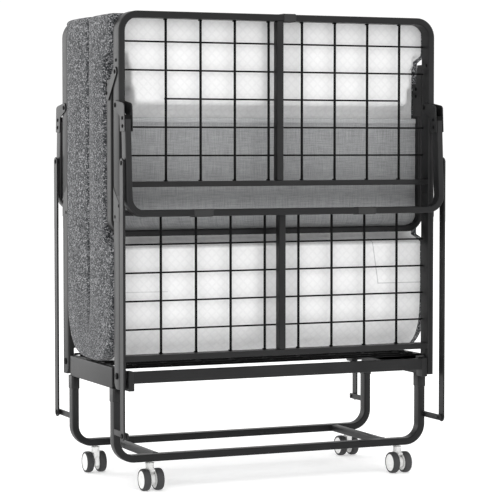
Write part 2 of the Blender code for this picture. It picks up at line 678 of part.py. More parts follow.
# -------------------------------------------------------------------- casters
def caster(label, side):
    x, y = CASTER_X[label], side * CASTER_Y
    wheel_y = y + side * TRAIL
    web = 0.0066
    ceiling = FLOOR_BAR_Z - POST_WIDTH / 2 - 0.0006
    stem_edge = 0.011
    outline = [(y - stem_edge, ceiling), (y + stem_edge, ceiling)]
    axle = (wheel_y, WHEEL_RADIUS)
    lower = [(axle[0] + 0.013 * math.cos(a), axle[1] + 0.013 * math.sin(a))
             for a in (math.radians(d) for d in (20, -10, -40, -70, -110, -140, -170, -200))]
    body = prism_object(f"caster_body_{label}", outline + lower, 0, x - web, x + web, "caster_white")
    stem = cutter(f"cut_stem_{label}", circle((x, y), STEM_RADIUS, 12), 2, ceiling - 0.005, FLOOR_BAR_Z + 0.0035)
    combine(body, stem, "UNION")
    pin = cutter(f"cut_axle_{label}", circle(axle, AXLE_RADIUS, 12), 0, x - 0.0225, x + 0.0225)
    combine(body, pin, "UNION")
    bore, rim, edge = AXLE_RADIUS + 0.0005, WHEEL_RADIUS, 0.003
    profile = [(WHEEL_INNER, bore), (WHEEL_INNER, rim - edge), (WHEEL_INNER + edge, rim),
               (WHEEL_OUTER - edge, rim), (WHEEL_OUTER, rim - edge), (WHEEL_OUTER, bore)]
    for part, sign in (("left", -1), ("right", 1)):
        spin(f"wheel_{label}_{part}", [(sign * a, r) for a, r in profile],
             (x, wheel_y, WHEEL_RADIUS), "caster_tyre")


def build():
    for obj in list(bpy.data.objects):
        bpy.data.objects.remove(obj, do_unlink=True)
    cart()
    split_z = DECK_Z[1] + MATTRESS_GAP + MATTRESS_OUTER_Y
    mattress(split_z)
    headboard()
    for half, side in (("head", -1), ("foot", 1)):
        upper_parts(half, side)
        lower_parts(half, side)
        leg(half, side)
        rods(half, side)
    for label in CASTER_X:
        caster(label, -1 if label.startswith("front") else 1)


build()
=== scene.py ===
"""Looks of the folded rollaway bed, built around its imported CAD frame.

Metres, +Z up. The head half is on -Y (side = -1), the foot half on +Y (side = +1).
Left is -X (sign = -1), right is +X (sign = +1).
"""
import bisect
import json
import math

import bmesh
import bpy
from mathutils import Matrix, Vector, noise


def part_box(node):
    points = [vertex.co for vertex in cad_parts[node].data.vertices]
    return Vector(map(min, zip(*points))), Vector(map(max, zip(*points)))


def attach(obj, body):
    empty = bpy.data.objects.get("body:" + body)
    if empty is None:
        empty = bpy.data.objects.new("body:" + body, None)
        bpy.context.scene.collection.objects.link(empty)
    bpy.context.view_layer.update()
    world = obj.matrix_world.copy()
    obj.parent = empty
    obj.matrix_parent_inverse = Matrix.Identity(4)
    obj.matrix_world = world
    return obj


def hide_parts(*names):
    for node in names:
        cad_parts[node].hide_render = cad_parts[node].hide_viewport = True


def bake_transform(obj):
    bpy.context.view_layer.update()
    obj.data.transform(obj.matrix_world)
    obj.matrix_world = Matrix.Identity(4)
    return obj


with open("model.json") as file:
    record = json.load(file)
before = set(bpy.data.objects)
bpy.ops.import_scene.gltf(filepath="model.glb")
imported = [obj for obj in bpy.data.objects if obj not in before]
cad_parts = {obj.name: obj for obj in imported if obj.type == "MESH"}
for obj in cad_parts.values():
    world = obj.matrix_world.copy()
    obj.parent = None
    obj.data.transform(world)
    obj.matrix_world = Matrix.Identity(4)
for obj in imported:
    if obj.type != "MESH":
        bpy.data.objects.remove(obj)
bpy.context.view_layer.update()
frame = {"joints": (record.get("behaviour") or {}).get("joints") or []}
BOTH = (-1, 1)
LABELLED = (("left", -1), ("right", 1))


# ------------------------------------------------------------ frame measures
def box(node):
    low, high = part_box(node)
    return Vector(low), Vector(high)


def outer_x(node, sign):
    low, high = box(node)
    return high.x if sign > 0 else low.x


JOINTS = {joint["name"]: joint for joint in frame["joints"]}
FOLD = Vector(JOINTS["head_fold"]["pos_m"])
LEG_PIVOT = Vector(JOINTS["head_leg_swing"]["pos_m"])
ROD_PIN = Vector(JOINTS["head_rod_swing"]["pos_m"])
PANEL_Y = abs(FOLD.y)
ROD_Y = abs(ROD_PIN.y)
UPPER_LOW, UPPER_HIGH = box("head_upper_tube")
BEAM_LOW, BEAM_HIGH = box("side_beam_right")
BOLT_X = UPPER_HIGH.x                      # outer side face of the panel tubes
LEG_X = box("head_leg_tube")[1].x          # outer side face of the leg tubes

# sections, (across the bed, through the panel), and outer bend radii
TUBE, TOP_RADIUS = (0.015, 0.038), 0.045
LEG_TUBE, LEG_RADIUS = (0.014, 0.028), 0.042
BOARD_TUBE, BOARD_RADIUS = (0.0135, 0.03), 0.04
POST, POST_RADIUS = (0.0165, 0.027), 0.05
CORNER = 0.0032                            # rounding of the rolled tube sections
SMALL_CORNER = 0.003                      # of the leg and headboard tubes

# bed halves
TUBE_X = BOLT_X - TUBE[0] / 2
BAR_X = BOLT_X - TUBE[0] + 0.0006          # bars end just inside the side tubes' faces
TAIL_CUT = 0.012                           # slanted inner corner at the tubes' lower ends
LOWER_BARS = ((0.2965, 0.3092), (0.6195, 0.6315))
GRID_Y = 0.1705
ROW_PITCH = 0.0632
UPPER_WIRES = {"pitch": 0.0836, "shift": 0.019, "first_z": 1.005, "rows": 5, "short_row": 2}
LOWER_WIRES = {"pitch": 0.0847, "shift": 0.01, "first_z": 0.5545, "rows": 4}
BOARD_PIVOT = (-0.174, 0.937)

# legs, link rods and cart
LEAN = math.atan(0.0594)                   # of the folded legs
LEG_OFFSET = 0.0425
LEG_LENGTH = 0.2452
LEG_TOP_DROP = 0.0216
FOOT_X = (-0.2135, 0.191)
ROD_NEAR = 0.3963
ROD_THICK = 0.004
POST_Y = 0.1415
FLOOR_BAR = 0.0733
BEAM_INNER = 0.3747
BEAM_HALF = 0.1445
BEAM_LOW_Z = 0.233
CASTER_X = {"front_left": -0.303, "front_right": 0.325, "rear_left": -0.332, "rear_right": 0.336}
WHEEL_R = 0.025

# mattress
HALF_W = 0.3985
OUTER_Y = 0.1545                           # also the thickness of one layer
INNER_GAP = 0.0006
FOLD_CENTRE = 0.4395
CREASE_LOW = 0.375
TOP_END = 1.0675
EDGE_R = 0.011
FULLNESS = 3.0                             # squareness of the fold: 2 is a half round
FOLD_STEPS = 900
MESH_STEP = 0.0075
LID_RISE = 0.0092                          # height of the rounded upper end
WHITE_X = (-0.374, 0.3805)                 # the white cover's side edges
DENT_Z = (0.5705, 0.846, 0.962)            # behind the headboard: low, high, high at the sides
DENT_SHARE = 0.305


# ----------------------------------------------------------------- materials
class Graph:
    """The node tree of one new material."""

    def __init__(self, name):
        self.material = bpy.data.materials.new(name)
        self.material.use_nodes = True
        self.tree = self.material.node_tree

    def put(self, node, values):
        """Fill sockets: an output is linked, anything else becomes the socket's constant."""
        for socket, value in values.items():
            if isinstance(value, bpy.types.NodeSocket):
                self.tree.links.new(value, node.inputs[socket])
            else:
                node.inputs[socket].default_value = value

    def add(self, kind, values=None, **settings):
        node = self.tree.nodes.new(kind)
        for key, value in settings.items():
            setattr(node, key, value)
        self.put(node, values or {})
        return node

    def surface(self, values):
        self.put(self.tree.nodes["Principled BSDF"], values)
        return self.material

    def where(self, kind="Object", scale=(1, 1, 1)):
        place = self.add("ShaderNodeTexCoord").outputs[kind]
        return self.add("ShaderNodeMapping", {"Vector": place, "Scale": scale}).outputs["Vector"]

    def split(self, vector):
        parts = self.add("ShaderNodeSeparateXYZ", {"Vector": vector}).outputs
        return parts["X"], parts["Y"]

    def math(self, operation, *values):
        return self.add("ShaderNodeMath", dict(enumerate(values)), operation=operation).outputs["Value"]

    def times(self, first, second):
        return self.math("MULTIPLY", first, second)

    def noise(self, vector, scale, detail=2.0, roughness=0.5):
        values = {"Vector": vector, "Scale": scale, "Detail": detail, "Roughness": roughness}
        return self.add("ShaderNodeTexNoise", values).outputs["Fac"]

    def spread(self, value, low, high):
        values = {"Value": value, "To Min": low, "To Max": high}
        return self.add("ShaderNodeMapRange", values).outputs["Result"]

    def mix(self, factor, first, second, kind="RGBA", blend="MIX"):
        values = {"Factor": factor, "A": first, "B": second}
        return self.add("ShaderNodeMix", values, data_type=kind, blend_type=blend).outputs["Result"]

    def ramp(self, source, *stops):
        node = self.add("ShaderNodeValToRGB", {"Fac": source})
        elements = node.color_ramp.elements
        while len(elements) < len(stops):
            elements.new(0.5)
        for element, (position, colour) in zip(elements, stops):
            element.position = position
            element.color = (*colour, 1.0)
        return node.outputs["Color"]

    def bump(self, height, strength, distance, below=None):
        values = {"Height": height, "Strength": strength, "Distance": distance}
        if below is not None:
            values["Normal"] = below
        return self.add("ShaderNodeBump", values).outputs["Normal"]

    def weave(self, vector, threads):
        """Plain weave height: two thread waves that take turns on top, 0 to 1."""
        waves = [self.times(axis, threads * math.pi) for axis in self.split(vector)]
        warp, weft = (self.math("ABSOLUTE", self.math("SINE", wave)) for wave in waves)
        checker = self.times(*(self.math("SINE", self.times(wave, 0.5)) for wave in waves))
        return self.mix(self.math("GREATER_THAN", checker, 0.0), warp, weft, "FLOAT")


def scaled(colour, factor):
    return tuple(min(1.0, channel * factor) for channel in colour)


def powder_coat(name, colour, worn, roughness=0.4, shine=0.2):
    """Fine orange-peel paint with slightly rubbed edges."""
    graph = Graph(name)
    where = graph.where()
    peel = graph.noise(where, 900.0, 3.0, 0.55)
    cloud = graph.noise(where, 14.0, 4.0, 0.6)
    pointed = graph.add("ShaderNodeNewGeometry").outputs["Pointiness"]
    edge = graph.ramp(pointed, (0.52, (0, 0, 0)), (0.6, (1, 1, 1)))
    rubbed = graph.times(graph.times(edge, cloud), 0.5)
    tone = graph.ramp(cloud, (0.3, scaled(colour, 0.82)), (0.7, scaled(colour, 1.18)))
    return graph.surface({"Base Color": graph.mix(rubbed, tone, (*worn, 1.0)),
                          "Roughness": graph.spread(cloud, roughness - 0.06, roughness + 0.08),
                          "Specular IOR Level": shine,
                          "Normal": graph.bump(peel, 0.25, 0.00025)})


def plastic(name, colour, roughness, grain=500.0, strength=0.12, extra=None):
    """Moulded plastic, rubber or metal with a fine grain and slight tone changes."""
    graph = Graph(name)
    where = graph.where()
    fine = graph.noise(where, grain, 3.0, 0.6)
    cloud = graph.noise(where, 30.0, 3.0)
    tone = graph.ramp(cloud, (0.35, scaled(colour, 0.93)), (0.65, scaled(colour, 1.05)))
    return graph.surface({"Base Color": tone,
                          "Roughness": graph.spread(fine, roughness - 0.05, roughness + 0.07),
                          "Normal": graph.bump(fine, strength, 0.0002), **(extra or {})})


def linen(name, dark, light, threads=520.0):
    """Linen-look cloth: uneven slubby threads both ways, lighter and darker yarns."""
    graph = Graph(name)
    where = graph.where("UV")
    warp, weft = (graph.noise(graph.where("UV", scale), 1.0, 2.0, 0.6)
                  for scale in ((threads * 0.9, 26.0, 1.0), (26.0, threads * 0.9, 1.0)))
    yarn = graph.times(graph.math("ADD", warp, weft), 0.5)
    mottled = graph.math("ADD", graph.times(yarn, 0.7), graph.times(graph.noise(where, 700.0, 1.0), 0.3))
    rough = graph.bump(graph.weave(where, threads), 0.5, 0.0004)
    return graph.surface({"Base Color": graph.ramp(mottled, (0.36, dark), (0.64, light)),
                          "Roughness": 0.95, "Sheen Weight": 0.15, "Specular IOR Level": 0.15,
                          "Normal": graph.bump(yarn, 0.35, 0.0005, rough)})


def melange(name):
    """Heather border fabric: dark, grey and light yarns mixed in short flecks."""
    graph = Graph(name)
    where = graph.where("UV")
    flecks = graph.noise(graph.where("UV", (100.0, 400.0, 1.0)), 1.0, 3.0, 0.75)
    specks = graph.add("ShaderNodeTexVoronoi", {"Vector": where, "Scale": 360.0}).outputs["Color"]
    grain = graph.add("ShaderNodeSeparateColor", {"Color": specks}).outputs["Red"]
    mixed = graph.math("ADD", graph.times(flecks, 0.62), graph.times(grain, 0.38))
    tone = graph.ramp(mixed, (0.33, (0.01, 0.011, 0.013)), (0.45, (0.034, 0.036, 0.038)),
                      (0.56, (0.076, 0.078, 0.082)), (0.7, (0.31, 0.31, 0.32)))
    coarse = graph.bump(flecks, 0.6, 0.0009)
    return graph.surface({"Base Color": tone, "Roughness": 0.95, "Sheen Weight": 0.12,
                          "Specular IOR Level": 0.15,
                          "Normal": graph.bump(graph.weave(where, 420.0), 0.3, 0.0004, coarse)})


def seam_mask(graph, place, start, end, width=0.0011):
    """1 on a sewn line between two points of the unrolled cover, 0 elsewhere."""
    length = math.dist(start, end)
    run, rise = (end[0] - start[0]) / length, (end[1] - start[1]) / length
    du, dv = (graph.math("SUBTRACT", place[axis], start[axis]) for axis in (0, 1))
    along = graph.math("ADD", graph.times(du, run), graph.times(dv, rise))
    off = graph.math("SUBTRACT", graph.times(du, rise), graph.times(dv, run))
    near = graph.math("LESS_THAN", graph.math("ABSOLUTE", off), width)
    inside = graph.times(graph.math("GREATER_THAN", along, 0.0), graph.math("LESS_THAN", along, length))
    return graph.times(near, inside)


def quilted_white(name, seams=(), pitch=0.022):
    """White knit cover embossed with small diamonds, with painted shade darkening their grooves, and sewn
    seams drawn as lines of painted shade if any are given.
    """
    graph = Graph(name)
    where = graph.where("UV")
    place = graph.split(where)
    first, second = (graph.math("ABSOLUTE", graph.math("COSINE", graph.times(diagonal, math.pi / pitch)))
                     for diagonal in (graph.math("ADD", *place), graph.math("SUBTRACT", *place)))
    groove = graph.math("POWER", graph.math("MAXIMUM", first, second), 10.0)
    # painted shade: the diamonds' grooves are coloured darker than the flat white cover
    tone = graph.ramp(graph.times(groove, 0.75), (0.0, (0.8, 0.8, 0.8)), (1.0, (0.745, 0.745, 0.748)))
    cloud = graph.ramp(graph.noise(where, 9.0, 3.0), (0.3, (0.97, 0.97, 0.97)), (0.7, (1, 1, 1)))
    colour = graph.mix(1.0, tone, cloud, blend="MULTIPLY")
    # painted shade: each seam is drawn as a dark grey line, as shade falls in its crease; its third number
    # sets how dark
    for start, end, dark in seams:
        line = graph.times(seam_mask(graph, place, start, end), dark)
        colour = graph.mix(line, colour, (0.25, 0.25, 0.26, 1.0))
    embossed = graph.bump(graph.math("SUBTRACT", graph.times(first, second), groove), 0.16, 0.001)
    return graph.surface({"Base Color": colour, "Roughness": 0.85, "Sheen Weight": 0.1,
                          "Normal": graph.bump(graph.weave(where, 700.0), 0.2, 0.0003, embossed)})


def pale_floor(name):
    """Plain, nearly white studio floor with a barely visible cloudiness."""
    graph = Graph(name)
    cloud = graph.noise(graph.where(), 0.7)
    tone = graph.ramp(cloud, (0.3, (0.955, 0.955, 0.955)), (0.7, (0.965, 0.965, 0.965)))
    return graph.surface({"Base Color": tone, "Roughness": 0.95, "Specular IOR Level": 0.0,
                          "Emission Color": (1.0, 1.0, 1.0, 1.0), "Emission Strength": 0.28})


MATERIAL = {
    "frame": powder_coat("frame_powder_coat", (0.0095, 0.0095, 0.0099), (0.06, 0.06, 0.06)),
    "wire": powder_coat("wire_powder_coat", (0.0025, 0.0025, 0.0027), (0.02, 0.02, 0.02), 0.5, 0.06),
    "bolt": powder_coat("black_bolt", (0.0022, 0.0022, 0.0024), (0.02, 0.02, 0.02), 0.5, 0.08),
    "cap": plastic("black_end_cap", (0.003, 0.003, 0.003), 0.55, extra={"Specular IOR Level": 0.1}),
    "rubber": plastic("black_rubber", (0.014, 0.014, 0.014), 0.68, 800.0, 0.25),
    "white": plastic("caster_white", (0.8, 0.8, 0.79), 0.32),
    "tyre": plastic("caster_tyre", (0.03, 0.03, 0.031), 0.62, 900.0, 0.3),
    "steel": plastic("caster_steel", (0.55, 0.55, 0.55), 0.28, extra={"Metallic": 1.0}),
    "linen": linen("headboard_linen", (0.2, 0.203, 0.207), (0.395, 0.4, 0.405)),
    # painted highlight: the hem is the headboard linen made lighter, as if lit along its top fold
    "hem": linen("headboard_hem", (0.31, 0.315, 0.32), (0.5, 0.505, 0.51)),
    "melange": melange("mattress_melange"),
    "quilt": quilted_white("mattress_quilt"),
    "thread": plastic("grey_thread", (0.3, 0.3, 0.31), 0.8, 1500.0, 0.4),
    "floor": pale_floor("pale_floor"),
}


# -------------------------------------------------------------- mesh helpers
def make(name, bm, material, body, replaces=(), smooth=38.0):
    """Finish a mesh: shading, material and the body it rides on."""
    bmesh.ops.recalc_face_normals(bm, faces=bm.faces)
    mesh = bpy.data.meshes.new(name)
    bm.to_mesh(mesh)
    bm.free()
    for polygon in mesh.polygons:
        polygon.use_smooth = True
    mesh.set_sharp_from_angle(angle=math.radians(smooth))
    mesh.materials.append(MATERIAL[material])
    obj = bpy.data.objects.new(name, mesh)
    bpy.context.scene.collection.objects.link(obj)
    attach(obj, body)
    if replaces:
        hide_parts(*replaces)
    return obj


def bridge(bm, rings, closed=False):
    """Join rings of as many points; closed adds the two end faces."""
    count = len(rings[0])
    for this, following in zip(rings, rings[1:]):
        for i in range(count):
            j = (i + 1) % count
            bm.faces.new((this[i], this[j], following[j], following[i]))
    if closed:
        bm.faces.new(rings[0])
        bm.faces.new(rings[-1])


def clamp_x(bm, limit):
    for vert in bm.verts:
        vert.co.x = max(-limit, min(limit, vert.co.x))


def rounded_section(width, depth, radius, steps=4):
    points = []
    for cx, cy, start in ((1, 1, 0), (-1, 1, 90), (-1, -1, 180), (1, -1, 270)):
        for i in range(steps + 1):
            angle = math.radians(start + 90 * i / steps)
            points.append((cx * (width / 2 - radius) + radius * math.cos(angle),
                           cy * (depth / 2 - radius) + radius * math.sin(angle)))
    return points


def capsule(first, last, radius, count=14):
    direction = math.atan2(last[1] - first[1], last[0] - first[0])
    points = []
    for centre, turn in ((last, direction - math.pi / 2), (first, direction + math.pi / 2)):
        for i in range(count + 1):
            angle = turn + math.pi * i / count
            points.append((centre[0] + radius * math.cos(angle), centre[1] + radius * math.sin(angle)))
    return points


def sweep(bm, path, normal, section, caps=True):
    """Sweep a section along a path whose plane has this normal."""
    normal = Vector(normal).normalized()
    rings = []
    last = len(path) - 1
    for i, point in enumerate(path):
        back = (path[i] - path[i - 1]).normalized() if i else None
        ahead = (path[i + 1] - path[i]).normalized() if i < last else None
        along = ((back or ahead) + (ahead or back)).normalized()
        stretch = 1.0 / max(0.3, along.dot(back or ahead))
        across = normal.cross(along).normalized() * stretch
        rings.append([bm.verts.new(point + across * a + normal * b) for a, b in section])
    bridge(bm, rings)
    if caps:
        cap_ring(bm, rings[0], path[0] - path[1])
        cap_ring(bm, rings[-1], path[-1] - path[-2])
    return rings


def u_tube(bm, axis_x, y, ends_z, bend_z, size, outer_radius, corner, steps=14):
    """A flat tube bent to a U in an XZ plane; bend_z is the height of its cross part's axis."""
    radius = outer_radius - size[0] / 2
    rise = math.copysign(radius, ends_z - bend_z)
    path = [Vector((-axis_x, y, ends_z))]
    for sign, turns in ((-1, range(steps + 1)), (1, range(steps, -1, -1))):
        for angle in (math.pi / 2 * i / steps for i in turns):
            x = sign * (axis_x - radius + radius * math.cos(angle))
            path.append(Vector((x, y, bend_z + rise * (1 - math.sin(angle)))))
    path.append(Vector((axis_x, y, ends_z)))
    sweep(bm, path, (0, 1, 0), rounded_section(*size, corner))


def cap_ring(bm, ring, outward, inset=0.0008, rise=0.0005):
    """Close a ring with a slightly rounded end."""
    centre = sum((v.co for v in ring), Vector()) / len(ring)
    lift = Vector(outward).normalized() * rise
    inner = []
    for vert in ring:
        toward = centre - vert.co
        inset_here = min(inset, toward.length * 0.5)
        inner.append(bm.verts.new(vert.co + toward.normalized() * inset_here + lift))
    bridge(bm, [ring, inner])
    bm.faces.new(inner)


def rounded_box(bm, first, last, radius=0.001, segments=2, matrix=Matrix()):
    """A box with rounded edges between two opposite corners."""
    first, last = Vector(first), Vector(last)
    size = [abs(span) for span in last - first]
    place = matrix @ Matrix.Translation((first + last) / 2) @ Matrix.Diagonal((*size, 1.0))
    cube = bmesh.ops.create_cube(bm, size=1.0, matrix=place)
    edges = dict.fromkeys(edge for vert in cube["verts"] for edge in vert.link_edges)
    bmesh.ops.bevel(bm, geom=list(edges), offset=radius, segments=segments, profile=0.6, affect="EDGES")


def lathe(bm, profile, origin, axis, count=32):
    """Spin an open profile of (along, radius) about an axis through origin."""
    axis = Vector(axis).normalized()
    side = axis.orthogonal().normalized()
    up = axis.cross(side)
    rings = []
    for along, radius in profile:
        centre = Vector(origin) + axis * along
        if radius < 1e-6:
            rings.append([bm.verts.new(centre)])
            continue
        rings.append([bm.verts.new(centre + (side * math.cos(a) + up * math.sin(a)) * radius)
                      for a in (math.tau * k / count for k in range(count))])
    for this, following in zip(rings, rings[1:]):
        if len(this) == len(following) == 1:
            continue
        for i in range(count):
            turns = ((this, i), (this, i + 1), (following, i + 1), (following, i))
            corners = [ring[k % len(ring)] for ring, k in turns]
            bm.faces.new(tuple(dict.fromkeys(corners)))


def rod(bm, start, end, radius, count=12, dome=0.4):
    """A straight round wire with softly domed ends."""
    start, end = Vector(start), Vector(end)
    length = (end - start).length
    rise = radius * dome
    profile = [(0, 0), (0, radius * 0.6), (rise, radius),
               (length - rise, radius), (length, radius * 0.6), (length, 0)]
    lathe(bm, profile, start, end - start, count)


def plate(bm, outline, x_near, x_far, edge=0.0005):
    """A flat plate in a YZ outline, between two X planes, with eased edges."""
    centre = sum((Vector(p) for p in outline), Vector((0, 0))) / len(outline)
    rings = []
    step = math.copysign(edge, x_far - x_near)
    for x, inset in ((x_near, edge), (x_near + step, 0), (x_far - step, 0), (x_far, edge)):
        ring = []
        for y, z in outline:
            toward = (centre - Vector((y, z))).normalized() * inset
            ring.append(bm.verts.new((x, y + toward.x, z + toward.y)))
        rings.append(ring)
    bridge(bm, rings, closed=True)


def rivet(bm, point, sign, radius=0.0046, height=0.0024):
    """Domed rivet head that stands on a YZ plane and faces sign along X."""
    profile = [(-0.0004, 0), (-0.0004, radius), (0.0003, radius), (height * 0.55, radius * 0.86),
               (height * 0.88, radius * 0.5), (height, 0)]
    lathe(bm, profile, point, (sign, 0, 0), 24)


def hex_bolt(bm, point, sign, across=0.0135, height=0.0032):
    """Washer and hexagon head on a YZ plane, facing sign along X."""
    washer = across * 0.58
    lathe(bm, [(-0.0003, 0), (-0.0003, washer), (0.0006, washer), (0.0009, washer * 0.93), (0.0009, 0)],
          point, (sign, 0, 0), 28)
    radius = across / math.sqrt(3)
    rings = []
    for x, scale in ((0.0008, 1.0), (height - 0.0006, 1.0), (height, 0.86)):
        rings.append([bm.verts.new((point[0] + sign * x, point[1] + radius * scale * math.cos(a),
                                    point[2] + radius * scale * math.sin(a)))
                      for a in (math.tau * k / 6 + 0.3 for k in range(6))])
    bridge(bm, rings, closed=True)


def weld(bm, start, end, radius=0.0016, seed=0):
    """A slightly lumpy weld bead between two points."""
    start, end = Vector(start), Vector(end)
    length = (end - start).length
    steps = max(4, int(length / 0.0016))
    profile = [(0, 0)]
    for i in range(steps + 1):
        lump = 0.82 + 0.18 * math.sin(i * 2.1 + seed) + 0.1 * noise.noise((i * 0.7, seed, 0.3))
        profile.append((length * i / steps, radius * lump * (0.6 if i in (0, steps) else 1.0)))
    profile.append((length, 0))
    lathe(bm, profile, start, end - start, 8)


def sleeve(bm, stations, origin, axis, up, size, radius):
    """Skin around a bar: rounded sections at (distance, growth) stations along its axis."""
    axis, up = Vector(axis).normalized(), Vector(up).normalized()
    across = up.cross(axis)
    rings = []
    for distance, grow in stations:
        centre = Vector(origin) + axis * distance
        section = rounded_section(size[0] + 2 * grow, size[1] + 2 * grow, max(0.0004, radius + grow))
        rings.append([bm.verts.new(centre + across * a + up * b) for a, b in section])
    bridge(bm, rings, closed=True)


# ---------------------------------------------------------------- bed halves
def panel_tubes(half, side):
    y = side * PANEL_Y
    edge_y = TUBE[1] / 2
    bm = bmesh.new()
    u_tube(bm, TUBE_X, y, UPPER_LOW.z, UPPER_HIGH.z - TUBE[0] / 2, TUBE, TOP_RADIUS, CORNER)
    make(f"{half}_top_loop", bm, "frame", f"{half}_panel", [f"{half}_upper_tube"])

    bm = bmesh.new()
    low, high = box(f"{half}_lower_frame")
    for sign in BOTH:
        x = sign * TUBE_X
        path = [Vector((x, y, low.z + TAIL_CUT)), Vector((x, y, high.z))]
        rings = sweep(bm, path, (0, 1, 0), rounded_section(*TUBE, CORNER), caps=False)
        cap_ring(bm, rings[-1], (0, 0, 1))
        tip = []
        for vert in rings[0]:
            outward = max(side * (vert.co.y - y), TAIL_CUT - edge_y)
            tip.append(bm.verts.new((vert.co.x, y + side * outward, low.z)))
        bridge(bm, [rings[0], tip])
        bm.faces.new(tip)
    for z_low, z_high in LOWER_BARS:
        rounded_box(bm, (-BAR_X, y - edge_y, z_low), (BAR_X, y + edge_y, z_high), 0.0024, 3)
        for sign in BOTH:
            for edge in BOTH:
                foot = (sign * (BAR_X - 0.0006), y + edge * (edge_y - 0.001))
                weld(bm, (*foot, z_low + 0.001), (*foot, z_high - 0.001), 0.0014, z_low)
    make(f"{half}_low_frame", bm, "frame", f"{half}_panel", [f"{half}_lower_frame"])

    bm = bmesh.new()
    low, high = box(f"{half}_upper_crossbar")
    rounded_box(bm, (-BAR_X, low.y, low.z), (BAR_X, high.y, high.z), 0.0022, 3)
    for sign in BOTH:
        foot = (sign * (BAR_X - 0.0008), side * (PANEL_Y + edge_y - 0.0012))
        weld(bm, (*foot, low.z + 0.001), (*foot, high.z - 0.001), 0.0014, 3)
    make(f"{half}_upper_rail", bm, "frame", f"{half}_panel", [f"{half}_upper_crossbar"])

    for part in ("upper", "lower"):
        low, high = box(f"{half}_{part}_bar")
        bm = bmesh.new()
        rounded_box(bm, low, high, 0.0022, 3)
        for z in (low.z, high.z):
            inner = side * (PANEL_Y + 0.002)
            weld(bm, (low.x + 0.002, inner, z), (high.x - 0.002, inner, z), 0.0012, z)
        make(f"{half}_{part}_centre_bar", bm, "frame", f"{half}_panel", [f"{half}_{part}_bar"])


def wire_grid(half, side, part, pitch, shift, first_z, rows, short_row=None):
    """Upright wires in front, cross wires behind them, and a spot weld at each crossing."""
    low, high = box(f"{half}_{part}_grid")
    front = side * (GRID_Y + 0.0008)
    behind = side * (GRID_Y - 0.0038)
    columns = [shift + (i - 3.5) * pitch for i in range(8)]
    bm = bmesh.new()
    for x in columns:
        rod(bm, (x, front, low.z - 0.0002), (x, front, high.z + 0.0002), 0.0029, 14, 0.5)
        for z in (low.z + 0.0012, high.z - 0.0012):
            rounded_box(bm, (x - 0.004, behind - side * 0.0008, z - 0.0014),
                        (x + 0.004, front + side * 0.0008, z + 0.0014), 0.001, 2)
    for row in range(rows):
        z = first_z - row * ROW_PITCH
        ends = (low.x - 0.0002, high.x + 0.0002)
        if row == short_row:
            ends = (columns[0] - 0.002, columns[-1] + 0.002)
        rod(bm, (ends[0], behind, z), (ends[1], behind, z), 0.002, 12, 0.5)
        for x in columns:
            place = Matrix.Translation((x, (front + behind) / 2, z)) @ Matrix.Diagonal((1.5, 0.9, 1.0, 1.0))
            bmesh.ops.create_icosphere(bm, subdivisions=1, radius=0.0022, matrix=place)
    make(f"{half}_{part}_wires", bm, "wire", f"{half}_panel", [f"{half}_{part}_grid"], smooth=60)


def bumper(half, side):
    """Ribbed rubber sleeve on the top tube."""
    low, high = box(f"{half}_bumper")
    length = high.x - low.x
    end = [(0, 0.0001), (0.0002, 0.0011), (0.0012, 0.002), (0.0026, 0.002), (0.0034, 0.0015)]
    ribs = 6
    step = (length - 2 * end[-1][0]) / ribs
    stations = list(end)
    for i in range(ribs):
        start = end[-1][0] + i * step
        stations += [(start + step * 0.3, 0.0019), (start + step * 0.7, 0.0019), (start + step, 0.0015)]
    stations += [(length - distance, grow) for distance, grow in end[-2::-1]]
    bm = bmesh.new()
    origin = (low.x, side * PANEL_Y, UPPER_HIGH.z - TUBE[0] / 2)
    sleeve(bm, stations, origin, (1, 0, 0), (0, 1, 0), TUBE, CORNER)
    make(f"{half}_bumper_sleeve", bm, "rubber", f"{half}_panel", [f"{half}_bumper"])


def splice(half, side):
    """Thin side plates with a slanted end where the two sections are bolted together."""
    bm = bmesh.new()
    heads = bmesh.new()
    inner_y, outer_y = PANEL_Y - TUBE[1] / 2 + 0.0014, PANEL_Y + TUBE[1] / 2 - 0.0014
    outline = [(inner_y, 0.6075), (outer_y, 0.6075), (outer_y, 0.6485), (inner_y, 0.6807)]
    outline = [(side * y, z) for y, z in outline]
    for sign in BOTH:
        plate(bm, outline, sign * BOLT_X, sign * (BOLT_X + 0.0007), 0.0003)
        for y, z in ((outer_y - 0.001, 0.642), (inner_y + 0.0095, 0.617)):
            rivet(heads, (sign * (BOLT_X + 0.0006), side * y, z), sign, 0.004, 0.0017)
    make(f"{half}_splice_plates", bm, "frame", f"{half}_panel")
    make(f"{half}_splice_bolts", heads, "bolt", f"{half}_panel")


